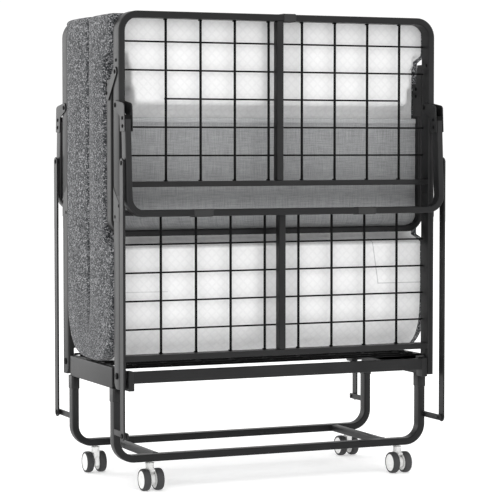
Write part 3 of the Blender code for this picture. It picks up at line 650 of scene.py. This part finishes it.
# ----------------------------------------------------------------- headboard
def headboard():
    low, high = box("headboard_tube")
    y = (low.y + high.y) / 2
    bm = bmesh.new()
    u_tube(bm, high.x - BOARD_TUBE[0] / 2, y, high.z, low.z + BOARD_TUBE[0] / 2, BOARD_TUBE, BOARD_RADIUS,
           SMALL_CORNER)
    make("headboard_loop", bm, "frame", "head_panel", ["headboard_tube"])

    bm = bmesh.new()
    heads = bmesh.new()
    pivot_y, pivot_z = BOARD_PIVOT
    back = -PANEL_Y + TUBE[1] / 2 + 0.0003
    arm_inner = BOLT_X - 0.0145
    arm = [(back, 0.844), (high.y - 0.006, 0.844), (high.y - 0.025, 0.964), (back, 0.964)]
    for label, sign in LABELLED:
        far = outer_x(f"headboard_plate_{label}", sign)
        outline = capsule(BOARD_PIVOT, (y, high.z - 0.035), 0.0108)
        plate(bm, outline, sign * (BOLT_X + 0.0003), far, 0.0006)
        spacer = sign * (BOLT_X - 0.0002)
        rounded_box(bm, (spacer - 0.0006, pivot_y - 0.004, pivot_z - 0.004),
                    (spacer + 0.0006, pivot_y + 0.004, pivot_z + 0.004), 0.0005)
        rivet(heads, (far, pivot_y, pivot_z), sign, 0.005, 0.0022)
        plate(bm, arm, sign * arm_inner, sign * (arm_inner + 0.0024), 0.0005)
        for z in (0.908, 0.8915):
            rivet(heads, (sign * (arm_inner + 0.0001), high.y - 0.0185, z), -sign, 0.0044, 0.0022)
        rivet(heads, (sign * (BOLT_X - TUBE[0]), -PANEL_Y - 0.006, 0.962), -sign, 0.004, 0.002)
        rivet(heads, (sign * BOLT_X, -PANEL_Y, 0.962), sign, 0.004, 0.002)
        for z in (high.z - 0.0105, high.z - 0.029):
            rivet(heads, (far, y + 0.0045, z), sign, 0.0042, 0.002)
    make("headboard_hinges", bm, "frame", "head_panel", ["headboard_plate_left", "headboard_plate_right"])
    make("headboard_rivets", heads, "bolt", "head_panel")
    headboard_cloth(y)


def sheet_mesh(bm, columns, rows, place, thickness, uv):
    """Closed thin sheet: each row is a ring, out along the front and home along the back."""
    layer = bm.loops.layers.uv.verify()
    texture = {}
    rings = []
    for v in rows:
        ring = []
        for offset, line in ((0.5, columns), (-0.5, columns[::-1])):
            for u in line:
                ring.append(bm.verts.new(place(u, v) + Vector((0, offset * thickness, 0))))
                texture[ring[-1]] = uv(u, v)
        rings.append(ring)
    bridge(bm, rings)
    for ring in (rings[0], rings[-1]):
        for i in range(len(columns) - 1):
            bm.faces.new((ring[i], ring[i + 1], ring[-2 - i], ring[-1 - i]))
    for face in bm.faces:
        for loop in face.loops:
            loop[layer].uv = texture[loop.vert]


def headboard_cloth(y):
    """Linen stretched over the headboard's loop, with a stitched hem along its top in a lighter copy of the
    linen: painted highlight.
    """
    low, high = box("headboard_fabric")
    width, height = high.x, high.z - low.z
    bend = BOARD_RADIUS - BOARD_TUBE[0]
    hem_height = 0.0112

    def place(u, v):
        tuck = max(0.0, bend - v * height)
        edge_x = width - bend + math.sqrt(bend * bend - tuck * tuck)
        sag = 0.0011 * math.cos(u * math.pi / 2) * math.sin(math.pi * min(1, v * 1.02))
        pull = 0.0005 * math.sin(u * 37.0) * (1 - v) ** 6 + 0.0004 * math.sin(v * 61.0) * abs(u) ** 10
        drift = 0.0012 * noise.noise((u * 2.1, v * 1.7, 4.0))
        return Vector((u * edge_x, y + sag + pull + drift, low.z + v * height))

    def hem_place(u, v):
        roll = 0.0008 * math.sin(math.pi * v)
        drift = 0.0012 * noise.noise((u * 2.1, 1.7, 4.0))
        return Vector((u * width, y - 0.0012 - roll + drift, high.z - 0.0115 + v * hem_height))

    columns = [-1 + 2 * i / 150 for i in range(151)]
    bm = bmesh.new()
    sheet_mesh(bm, columns, [j / 52 for j in range(53)], place, 0.0014, lambda u, v: (u * width, v * height))
    cloth = make("headboard_cloth", bm, "linen", "head_panel", ["headboard_fabric"], smooth=60)

    bm = bmesh.new()
    # the hem, in the lighter linen of painted highlight
    sheet_mesh(bm, columns, [j / 8 for j in range(9)], hem_place, 0.0012,
               lambda u, v: (u * width, v * hem_height + 0.5))
    hem = make("headboard_hem", bm, "hem", "head_panel", smooth=60)

    bm = bmesh.new()
    stitches = 190
    for i in range(stitches):
        start = -0.995 + 1.99 * i / stitches
        ends = [hem_place(u, 0.12) - Vector((0, 0.0008, 0)) for u in (start, start + 1.2 / stitches)]
        rod(bm, *ends, 0.0003, 6)
    make("headboard_stitches", bm, "thread", "head_panel")


# ---------------------------------------------------------------------- legs
def legs(half, side):
    """U leg with rubber feet and end caps, built upright about its pivot and then leant outwards."""
    place = (Matrix.Translation((0, side * (PANEL_Y + LEG_OFFSET), LEG_PIVOT.z))
             @ Matrix.Rotation(side * LEAN, 4, "X"))
    middle = LEG_X - LEG_TUBE[0] / 2
    slope = math.cos(LEAN)
    bottom = (-LEG_LENGTH + LEG_TUBE[0] / 2) / slope
    top = -LEG_TOP_DROP / slope - 0.0016
    bm = bmesh.new()
    u_tube(bm, middle, 0, top, bottom, LEG_TUBE, LEG_RADIUS, SMALL_CORNER)
    bm.transform(place)
    make(f"{half}_leg_loop", bm, "frame", f"{half}_legs", [f"{half}_leg_tube"])

    bm = bmesh.new()
    stations = [(0, 0.0002), (0.0003, 0.001), (0.0014, 0.0015), (0.004, 0.0015), (0.0048, 0.0011),
                (0.0056, 0.0015), (0.0404, 0.0015), (0.0412, 0.0011), (0.042, 0.0015),
                (0.0446, 0.0015), (0.0457, 0.001), (0.046, 0.0002)]
    for centre in FOOT_X:
        start = (centre - stations[-1][0] / 2, 0, bottom)
        sleeve(bm, stations, start, (1, 0, 0), (0, 1, 0), LEG_TUBE, SMALL_CORNER)
    bm.transform(place)
    make(f"{half}_leg_feet", bm, "rubber", f"{half}_legs")

    bm = bmesh.new()
    stations = [(0, 0.0001), (0.0004, 0.0004), (0.0085, 0.0004), (0.0096, 0.0001), (0.0101, -0.0012)]
    for sign in BOTH:
        start = (sign * middle, 0, top - 0.009)
        sleeve(bm, stations, start, (0, 0, 1), (0, 1, 0), LEG_TUBE, SMALL_CORNER)
    bm.transform(place)
    clamp_x(bm, LEG_X)
    make(f"{half}_leg_caps", bm, "cap", f"{half}_legs")


def leg_plates(half, side):
    """U-shaped pivot brackets: an outer and an inner plate, the pin, a folded lip and rivets."""
    bm = bmesh.new()
    heads = bmesh.new()
    leg_y = PANEL_Y + LEG_OFFSET
    back, front = leg_y - LEG_TUBE[1] / 2, leg_y + LEG_TUBE[1] / 2
    pivot_z = LEG_PIVOT.z
    outline = [(PANEL_Y + 0.011 * math.cos(a), 0.011 * math.sin(a))
               for a in (math.radians(90 + 15 * i) for i in range(13))]
    below = [(back, -0.024), (back + 0.003, -0.057), (back + 0.0045, -0.0582), (front + 0.0018, -0.0582),
             (front + 0.003, -0.057), (front, -0.002), (front - 0.002, 0.0008), (front - 0.008, 0.004)]
    outline = [(side * y, pivot_z + z) for y, z in outline + below]
    pivot = (side * PANEL_Y, pivot_z)
    rivets = [(side * (leg_y + 0.001 + drop * math.tan(LEAN)), pivot_z - drop) for drop in (0.029, 0.0465)]
    inner = BOLT_X - TUBE[0] - 0.0003
    for label, sign in LABELLED:
        far = outer_x(f"{half}_leg_plate_{label}", sign)
        plate(bm, outline, sign * (LEG_X + 0.0002), far, 0.0006)
        plate(bm, outline, sign * inner, sign * (inner - 0.0024), 0.0006)
        lathe(bm, [(0, 0), (0, 0.0037), (0.0165, 0.0037), (0.0165, 0)],
              (sign * (inner - 0.0008), *pivot), (sign, 0, 0), 20)
        rounded_box(bm, (sign * (BOLT_X + 0.0006), side * (front - 0.0036), pivot_z - 0.0195),
                    (sign * (LEG_X + 0.001), side * (front - 0.0004), pivot_z + 0.0015), 0.0006)
        rod(bm, (sign * (BOLT_X - 0.004), *pivot), (sign * (LEG_X + 0.001), *pivot), 0.0037, 20, 0.2)
        rivet(heads, (sign * (inner - 0.0023), *pivot), -sign, 0.0052, 0.0024)
        rivet(heads, (far, *pivot), sign, 0.0056, 0.0026)
        for place in rivets:
            rivet(heads, (sign * (inner - 0.0023), *place), -sign, 0.0042, 0.002)
            rivet(heads, (far, *place), sign, 0.0044, 0.0022)
    make(f"{half}_leg_brackets", bm, "frame", f"{half}_legs",
         [f"{half}_leg_plate_left", f"{half}_leg_plate_right"])
    make(f"{half}_leg_rivets", heads, "bolt", f"{half}_legs")


def rods(half, side):
    """Flat link rods outside the legs, with their pins, spacers and heads."""
    bm = bmesh.new()
    heads = bmesh.new()
    upper = (side * ROD_Y, LEG_PIVOT.z - FOLD.z + ROD_PIN.z)
    lower = (side * ROD_Y, ROD_PIN.z)
    outline = capsule(lower, upper, 0.0105)
    head_x = ROD_NEAR + ROD_THICK - 0.0001
    for sign in BOTH:
        plate(bm, outline, sign * ROD_NEAR, sign * (ROD_NEAR + ROD_THICK), 0.0009)
        for place, pin_x, spacer_x in ((upper, LEG_X - 0.009, LEG_X + 0.0003),
                                       (lower, BOLT_X - 0.0085, BOLT_X + 0.0003)):
            rod(bm, (sign * pin_x, *place), (sign * (ROD_NEAR + 0.0012), *place), 0.0037, 18, 0.2)
            reach = ROD_NEAR - spacer_x
            lathe(bm, [(0, 0), (0, 0.0072), (reach, 0.0072), (reach, 0)],
                  (sign * spacer_x, *place), (sign, 0, 0), 24)
        rivet(heads, (sign * head_x, *upper), sign, 0.0056, 0.0022)
        hex_bolt(heads, (sign * head_x, *lower), sign, 0.01, 0.0022)
    make(f"{half}_link_rods", bm, "frame", f"{half}_rods", [f"{half}_rod_left", f"{half}_rod_right"])
    make(f"{half}_link_bolts", heads, "bolt", f"{half}_rods")


# ---------------------------------------------------------------------- cart
def cart_frame(label, side):
    """Bent floor tube with its posts, and the stub arms that carry the link rods."""
    node = f"cart_{label}_tube"
    bm = bmesh.new()
    u_tube(bm, BOLT_X - POST[0] / 2, side * POST_Y, box(node)[1].z, FLOOR_BAR, POST, POST_RADIUS, CORNER, 18)
    for sign in BOTH:
        inner, outer = BOLT_X - 0.0055, BOLT_X - 0.0005
        rounded_box(bm, (sign * inner, side * (POST_Y + 0.002), ROD_PIN.z - 0.0065),
                    (sign * outer, side * (ROD_Y + 0.0095), ROD_PIN.z + 0.0065), 0.0014, 3)
        at_y = side * (POST_Y + POST[1] / 2)
        start, end = sorted((sign * inner, sign * outer))
        for z in (ROD_PIN.z - 0.0062, ROD_PIN.z + 0.0062):
            weld(bm, (start + 0.001, at_y, z), (end - 0.001, at_y, z), 0.0013, z)
    make(f"cart_{label}_loop", bm, "frame", "cart", [node])


def side_beams():
    """Beams over the posts, their rounded inner cheeks and the sleeves on the posts."""
    bm = bmesh.new()
    reach = BEAM_HIGH.y - 0.016
    cheek = capsule((-reach, FOLD.z), (reach, FOLD.z), 0.016, 12)
    depth = BEAM_LOW_Z - BEAM_LOW.z
    stations = [(-0.0003, -0.0002), (0, 0.0008), (0.0006, 0.0017), (depth, 0.0017), (depth + 0.0008, 0.0012)]
    for sign in BOTH:
        rounded_box(bm, (sign * BEAM_INNER, -BEAM_HALF, BEAM_LOW_Z),
                    (sign * BOLT_X, BEAM_HALF, BEAM_HIGH.z), 0.0026, 3)
        plate(bm, cheek, sign * BEAM_INNER, sign * (BEAM_INNER + 0.003), 0.0005)
        start, end = sorted((sign * BEAM_INNER, sign * BOLT_X))
        for side in BOTH:
            foot = (sign * (BOLT_X - POST[0] / 2), side * POST_Y, BEAM_LOW.z)
            sleeve(bm, stations, foot, (0, 0, 1), (0, 1, 0), POST, CORNER)
            for edge in BOTH:
                y = side * POST_Y + edge * (POST[1] / 2 + 0.0018)
                weld(bm, (start + 0.002, y, BEAM_LOW_Z), (end - 0.002, y, BEAM_LOW_Z), 0.0015, edge)
    clamp_x(bm, BEAM_HIGH.x)
    make("cart_side_beams", bm, "frame", "cart", ["side_beam_left", "side_beam_right"])


def fold_bolts():
    bm = bmesh.new()
    for side in BOTH:
        for sign in BOTH:
            pivot = (side * PANEL_Y, FOLD.z)
            hex_bolt(bm, (sign * (BOLT_X + 0.0003), *pivot), sign, 0.0125, 0.0032)
            rod(bm, (sign * 0.3705, *pivot), (sign * (BOLT_X + 0.001), *pivot), 0.0037, 18, 0.2)
            hex_bolt(bm, (sign * 0.3744, *pivot), -sign, 0.0105, 0.0042)
    make("fold_bolts", bm, "bolt", "cart",
         [f"fold_bolt_{end}_{label}" for end in ("front", "rear") for label, sign in LABELLED])


def rails():
    """Long rails between the beams, with an end clamp and a weld at each end."""
    bm = bmesh.new()
    for label, side in (("front", -1), ("rear", 1)):
        low, high = box(f"{label}_rail")
        rounded_box(bm, low, high, 0.0026, 3)
        for sign in BOTH:
            rounded_box(bm, (sign * 0.3605, side * 0.1705, 0.2315),
                        (sign * 0.3742, side * 0.2004, high.z + 0.001), 0.0016, 2)
            foot = (sign * 0.3602, side * 0.1998)
            weld(bm, (*foot, low.z + 0.001), (*foot, high.z - 0.001), 0.0014, sign)
    make("cart_rails", bm, "frame", "cart", ["front_rail", "rear_rail"])


def cross_bars():
    """Short bars between the two floor tubes, welded on three sides."""
    bm = bmesh.new()
    half = POST[0] / 2
    for label in ("left", "right"):
        low, high = box(f"cross_bar_{label}")
        x = (low.x + high.x) / 2
        z = (low.z + high.z) / 2
        path = [Vector((x, low.y - 0.0002, z)), Vector((x, high.y + 0.0002, z))]
        sweep(bm, path, (0, 0, 1), rounded_section(POST[0], POST[0], CORNER))
        for y in (low.y, high.y):
            for edge in BOTH:
                weld(bm, (x + edge * half, y, z - 0.006), (x + edge * half, y, z + 0.006), 0.0014, y)
            weld(bm, (x - 0.006, y, z + half), (x + 0.006, y, z + half), 0.0014, x)
    make("cart_cross_bars", bm, "frame", "cart", ["cross_bar_left", "cross_bar_right"])


def deck():
    """Welded wire deck: nine wires each way."""
    low, high = box("mid_deck_grid")
    z = low.z + 0.0027
    cross_pitch = 0.042
    bm = bmesh.new()
    for i in range(-4, 5):
        x, y = i * LOWER_WIRES["pitch"], i * cross_pitch
        rod(bm, (x, low.y - 0.0002, z + 0.0016), (x, high.y + 0.0002, z + 0.0016), 0.0018, 12, 0.5)
        rod(bm, (low.x, y, z), (high.x, y, z), 0.0026, 14, 0.5)
    make("cart_deck_wires", bm, "wire", "cart", ["mid_deck_grid"], smooth=60)


# ------------------------------------------------------------------- casters
def wheel(label, part, x, wheel_y, sign):
    """White wheel with a rounded black tread, ribbed disc and hub cap; sign is its outer side."""
    axle = (x, wheel_y, WHEEL_R)
    body = f"wheel_{label}_{part}"
    bm = bmesh.new()
    lathe(bm, [(0.0072, 0.0196), (0.0072, 0.0218), (0.0078, 0.023), (0.0094, 0.0242), (0.0118, 0.0249),
               (0.014, 0.025), (0.018, 0.025), (0.0206, 0.0248), (0.0226, 0.0242), (0.0238, 0.0232),
               (0.0242, 0.0222), (0.0242, 0.0209), (0.0238, 0.0203), (0.023, 0.0199), (0.0072, 0.0196)],
          axle, (sign, 0, 0), 56)
    make(f"tread_{label}_{part}", bm, "tyre", body, [body], smooth=30)
    bm = bmesh.new()
    lathe(bm, [(0.0076, 0.0042), (0.0076, 0.0197), (0.0226, 0.0202), (0.0236, 0.0197), (0.024, 0.0188),
               (0.0234, 0.0178), (0.0229, 0.017), (0.0228, 0.0098), (0.0233, 0.0086), (0.0239, 0.008),
               (0.0241, 0.007), (0.0241, 0.0000)], axle, (sign, 0, 0), 56)
    for k in range(6):
        turn = Matrix.Translation(axle) @ Matrix.Rotation(math.tau * k / 6, 4, "X")
        rounded_box(bm, (sign * 0.0222, -0.001, 0.008), (sign * 0.0234, 0.001, 0.0156), 0.0005, 1, turn)
    make(f"hub_{label}_{part}", bm, "white", body, smooth=30)


def caster(label, x, side):
    y = side * POST_Y
    wheel_y = y + side * 0.009
    body = f"caster_{label}"
    bm = bmesh.new()
    hood(bm, x, y, wheel_y, side)
    lathe(bm, [(0.048, 0.0), (0.048, 0.0092), (0.05, 0.0098), (0.0592, 0.0098), (0.0604, 0.0104),
               (0.0616, 0.0104), (0.0619, 0.0098), (0.0619, 0.0054), (0.074, 0.0052), (0.074, 0.0)],
          (x, y, 0), (0, 0, 1), 40)
    make(f"housing_{label}", bm, "white", body, [f"caster_body_{label}"], smooth=32)
    bm = bmesh.new()
    rod(bm, (x - 0.0226, wheel_y, WHEEL_R), (x + 0.0226, wheel_y, WHEEL_R), 0.0035, 20, 0.3)
    make(f"axle_{label}", bm, "steel", body)
    for part, sign in LABELLED:
        wheel(label, part, x, wheel_y, sign)


def hood(bm, x, y, wheel_y, side):
    """Housing web between the wheels, with a curved fender over the front of the tread."""
    web = []
    for degrees in range(-70, 251, 10):
        angle = math.radians(degrees)
        web.append((wheel_y + side * 0.0128 * math.cos(angle), WHEEL_R + 0.0128 * math.sin(angle)))
    plate(bm, web, x - 0.0064, x + 0.0064, 0.0008)
    block = [(y - 0.01, 0.035), (y + 0.01, 0.035), (y + 0.0105, 0.05), (y - 0.0105, 0.05)]
    plate(bm, block, x - 0.0064, x + 0.0064, 0.0008)
    inner, outer, ease = 0.0208, 0.0247, 0.0012
    rings = []
    steps = 30
    start, end = math.radians(62), math.radians(196)
    for i in range(steps + 1):
        t = i / steps
        angle = start + (end - start) * t
        half = 0.006 - 0.0012 * t
        rings.append([bm.verts.new((x + across, wheel_y + side * radius * math.cos(angle),
                                    WHEEL_R + radius * math.sin(angle)))
                      for across, radius in ((-half, inner), (-half, outer - ease), (-half + ease, outer),
                                             (half - ease, outer), (half, outer - ease), (half, inner))])
    bridge(bm, rings, closed=True)


# ------------------------------------------------------------------ mattress
def fold_curve():
    """Quarter of the fold's outline from its lowest point, with the distance along it."""
    points, travelled = [], [0.0]
    for i in range(FOLD_STEPS + 1):
        angle = math.pi / 2 * i / FOLD_STEPS
        across = OUTER_Y * math.sin(angle) ** (2 / FULLNESS)
        down = OUTER_Y * max(0.0, math.cos(angle)) ** (2 / FULLNESS)
        points.append(Vector((-across, FOLD_CENTRE - down)))
    for before, point in zip(points, points[1:]):
        travelled.append(travelled[-1] + (point - before).length)
    return points, travelled


CURVE, TRAVELLED = fold_curve()
ARC = TRAVELLED[-1]
LENGTH = ARC + TOP_END - FOLD_CENTRE


def unrolled(x, z):
    """Cover coordinates of a point on the flat outer face of a mattress half."""
    return (EDGE_R * math.pi / 2 + HALF_W - EDGE_R - x, ARC + z - FOLD_CENTRE)


# sewn seams on the head half's white face, drawn as lines of painted shade: start, end and how dark
SEAM_SHADE_LINES = [(unrolled(0.247, 0.58), unrolled(0.267, 0.4518), 0.55),
         (unrolled(0.2655, 0.4518), unrolled(0.383, 0.4515), 0.5),
         (unrolled(-0.263, 0.447), unrolled(-0.383, 0.448), 0.32)]
MATERIAL["quilt_seamed"] = quilted_white("mattress_quilt_seamed", SEAM_SHADE_LINES)


def smooth_step(value, low, high):
    t = max(0.0, min(1.0, (value - low) / (high - low)))
    return t * t * (3 - 2 * t)


def mattress_point(s, depth):
    """YZ point of the head half, s along the outer face and depth 0 inside to 1 outside."""
    if s < ARC:
        at = min(bisect.bisect_right(TRAVELLED, s), FOLD_STEPS)
        share = (s - TRAVELLED[at - 1]) / (TRAVELLED[at] - TRAVELLED[at - 1])
        outer = CURVE[at - 1].lerp(CURVE[at], share)
        inner = Vector((-INNER_GAP, CREASE_LOW + (FOLD_CENTRE - CREASE_LOW) * s / ARC))
        inner.x *= smooth_step(s, 0.0, 0.03)
    else:
        outer = Vector((-OUTER_Y, FOLD_CENTRE + s - ARC))
        inner = Vector((-INNER_GAP, FOLD_CENTRE + s - ARC))
    return inner.lerp(outer, depth)


def mattress_section():
    """Points (x, height above the inner face) around one layer, about MESH_STEP apart."""
    corners = [(x, z + OUTER_Y / 2) for x, z in rounded_section(2 * HALF_W, OUTER_Y, EDGE_R, 5)]
    points = []
    for (x0, z0), (x1, z1) in zip(corners, corners[1:] + corners[:1]):
        parts = max(1, round(math.hypot(x1 - x0, z1 - z0) / MESH_STEP))
        points += [(x0 + (x1 - x0) * k / parts, z0 + (z1 - z0) * k / parts) for k in range(parts)]
    return points


def soft_point(x, z, s, side):
    """Soft movement of a section's point, before it is bent into the fold."""
    outside = smooth_step(z / OUTER_Y, 0.8, 1.0)
    flank = smooth_step(abs(x) / HALF_W, 0.9, 1.0)
    z += outside * 0.0016 * noise.noise((x * 5.0, s * 5.0, z * 4.0 + side))
    bent = s / (ARC * 0.98)
    if bent < 1:
        ripple = 0.001 * math.sin(x * 210 + 3 * noise.noise((x * 9, s * 6, 1.0)))
        z += outside * math.sin(math.pi * bent) * ripple * (0.4 + 0.6 * noise.noise((x * 14, s * 4, 2.0)))
    middle = 1 - abs(z / OUTER_Y - 0.5) * 2
    x += flank * math.copysign(1.0, x) * (-0.003 + 0.0052 * max(0.0, middle) ** 0.6)
    x += flank * 0.0011 * noise.noise((s * 16, z * 18, 5.0 * side))
    if side < 0:
        low, high, high_at_sides = DENT_Z
        height = s - ARC + FOLD_CENTRE
        top = high + (high_at_sides - high) * smooth_step(abs(x), 0.34, 0.366)
        dent = smooth_step(height, low - 0.022, low - 0.006) - smooth_step(height, top + 0.006, top + 0.026)
        z *= 1 - DENT_SHARE * dent
    return x, z


def mattress_rings(bm, section, side):
    """(distance along the cover, vertices) from the fold's bottom to the rounded upper end."""
    last = int(LENGTH / MESH_STEP)
    lowered = {last - 1: 0.004, last: LID_RISE}
    stations = [(LENGTH * j / last, 0.0, -lowered.get(j, 0.0)) for j in range(last + 1)]
    stations += [(LENGTH, inset, rise - LID_RISE)
                 for inset, rise in ((0.0012, 0.003), (0.0042, 0.0062), (0.0085, 0.0085), (0.011, LID_RISE))]
    rings = []
    for s, inset, lift in stations:
        ring = []
        for x, z in section:
            x, z = soft_point(x, z, s, side)
            x -= math.copysign(min(inset, abs(x)), x)
            off = z - OUTER_Y / 2
            z = OUTER_Y / 2 + math.copysign(max(0.0, abs(off) - inset), off)
            flat = mattress_point(s, z / OUTER_Y)
            ring.append(bm.verts.new((x, -side * flat.x, flat.y + lift)))
        rings.append((s + (lift + LID_RISE if inset else 0.0), ring))
    return rings


def mattress(half, side):
    """One half: white quilted outer face (material 0), melange border and inside (material 1)."""
    section = mattress_section()
    following = section[1:] + section[:1]
    around = [0.0]
    white = []
    for (x0, z0), (x1, z1) in zip(section, following):
        around.append(around[-1] + math.hypot(x1 - x0, z1 - z0))
        flat_face = min(z0, z1) > OUTER_Y - EDGE_R * 0.5
        white.append(flat_face and min(x0, x1) > WHITE_X[0] and max(x0, x1) < WHITE_X[1])
    bm = bmesh.new()
    layer = bm.loops.layers.uv.verify()
    rings = mattress_rings(bm, section, side)
    for (s0, this), (s1, above) in zip(rings, rings[1:]):
        for i in range(len(section)):
            j = (i + 1) % len(section)
            face = bm.faces.new((this[i], this[j], above[j], above[i]))
            face.material_index = 0 if white[i] and s1 <= LENGTH else 1
            corners = ((around[i], s0), (around[i + 1], s0), (around[i + 1], s1), (around[i], s1))
            for loop, uv in zip(face.loops, corners):
                loop[layer].uv = uv
    lid = bmesh.ops.triangulate(bm, faces=[bm.faces.new(rings[-1][1])])["faces"]
    for face in lid:
        face.material_index = 1
        for loop in face.loops:
            loop[layer].uv = loop.vert.co.xy
    bmesh.ops.recalc_face_normals(bm, faces=bm.faces)
    mesh = bpy.data.meshes.new(f"{half}_mattress")
    bm.to_mesh(mesh)
    bm.free()
    for polygon in mesh.polygons:
        polygon.use_smooth = True
    mesh.materials.append(MATERIAL["quilt_seamed" if side < 0 else "quilt"])
    mesh.materials.append(MATERIAL["melange"])
    obj = bpy.data.objects.new(f"{half}_mattress", mesh)
    bpy.context.scene.collection.objects.link(obj)
    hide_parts(*([f"mattress_{half}", "mattress_fold"] if side < 0 else [f"mattress_{half}"]))
    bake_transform(obj)


# ----------------------------------------------------------------- the scene
LIGHTS = (("key_light", (-2.6, -2.4, 2.4), 2.2, 34.0),
          ("fill_light", (2.2, -3.2, 1.8), 2.6, 12.0),
          ("side_light", (-2.4, 3.6, 1.4), 2.4, 42.0))
WORLD_STRENGTH = 1.05
FLOOR_SIZE = 14.0
CAMERA_PLACE = (-1.95369, -4.44938, 0.77442)
CAMERA_TURN = (23.7746, 2.9028, -0.0128)   # degrees: to the right, downwards, roll
CAMERA_LENS = 148.2857


def studio():
    scene = bpy.context.scene
    scene.view_settings.view_transform = "Standard"
    world = bpy.data.worlds.new("studio")
    scene.world = world
    world.use_nodes = True
    background = world.node_tree.nodes["Background"]
    background.inputs["Color"].default_value = (1.0, 1.0, 1.0, 1.0)
    background.inputs["Strength"].default_value = WORLD_STRENGTH
    for name, place, size, power in LIGHTS:
        light = bpy.data.lights.new(name, "AREA")
        light.energy = power
        light.size = size
        lamp = bpy.data.objects.new(name, light)
        lamp.location = place
        lamp.rotation_euler = (Vector((0, 0, 0.5)) - Vector(place)).to_track_quat("-Z", "Y").to_euler()
        scene.collection.objects.link(lamp)
    bm = bmesh.new()
    bmesh.ops.create_grid(bm, x_segments=2, y_segments=2, size=FLOOR_SIZE)
    mesh = bpy.data.meshes.new("floor")
    bm.to_mesh(mesh)
    bm.free()
    mesh.materials.append(MATERIAL["floor"])
    floor = bpy.data.objects.new("floor", mesh)
    scene.collection.objects.link(floor)


def camera():
    lens = bpy.data.cameras.new("main_camera")
    lens.sensor_width = 36.0
    lens.lens = CAMERA_LENS
    eye = bpy.data.objects.new("main_camera", lens)
    right, down, roll = (math.radians(angle) for angle in CAMERA_TURN)
    turn = (Matrix.Rotation(-right, 4, "Z") @ Matrix.Rotation(math.pi / 2 - down, 4, "X")
            @ Matrix.Rotation(roll, 4, "Z"))
    eye.matrix_world = Matrix.Translation(CAMERA_PLACE) @ turn
    bpy.context.scene.collection.objects.link(eye)
    bpy.context.scene.camera = eye


def build():
    for half, side in (("head", -1), ("foot", 1)):
        panel_tubes(half, side)
        wire_grid(half, side, "upper", **UPPER_WIRES)
        wire_grid(half, side, "lower", **LOWER_WIRES)
        bumper(half, side)
        splice(half, side)
        legs(half, side)
        leg_plates(half, side)
        rods(half, side)
        mattress(half, side)
    headboard()
    cart_frame("front", -1)
    cart_frame("rear", 1)
    side_beams()
    fold_bolts()
    rails()
    cross_bars()
    deck()
    for label, x in CASTER_X.items():
        caster(label, x, -1 if label.startswith("front") else 1)
    studio()
    camera()


build()
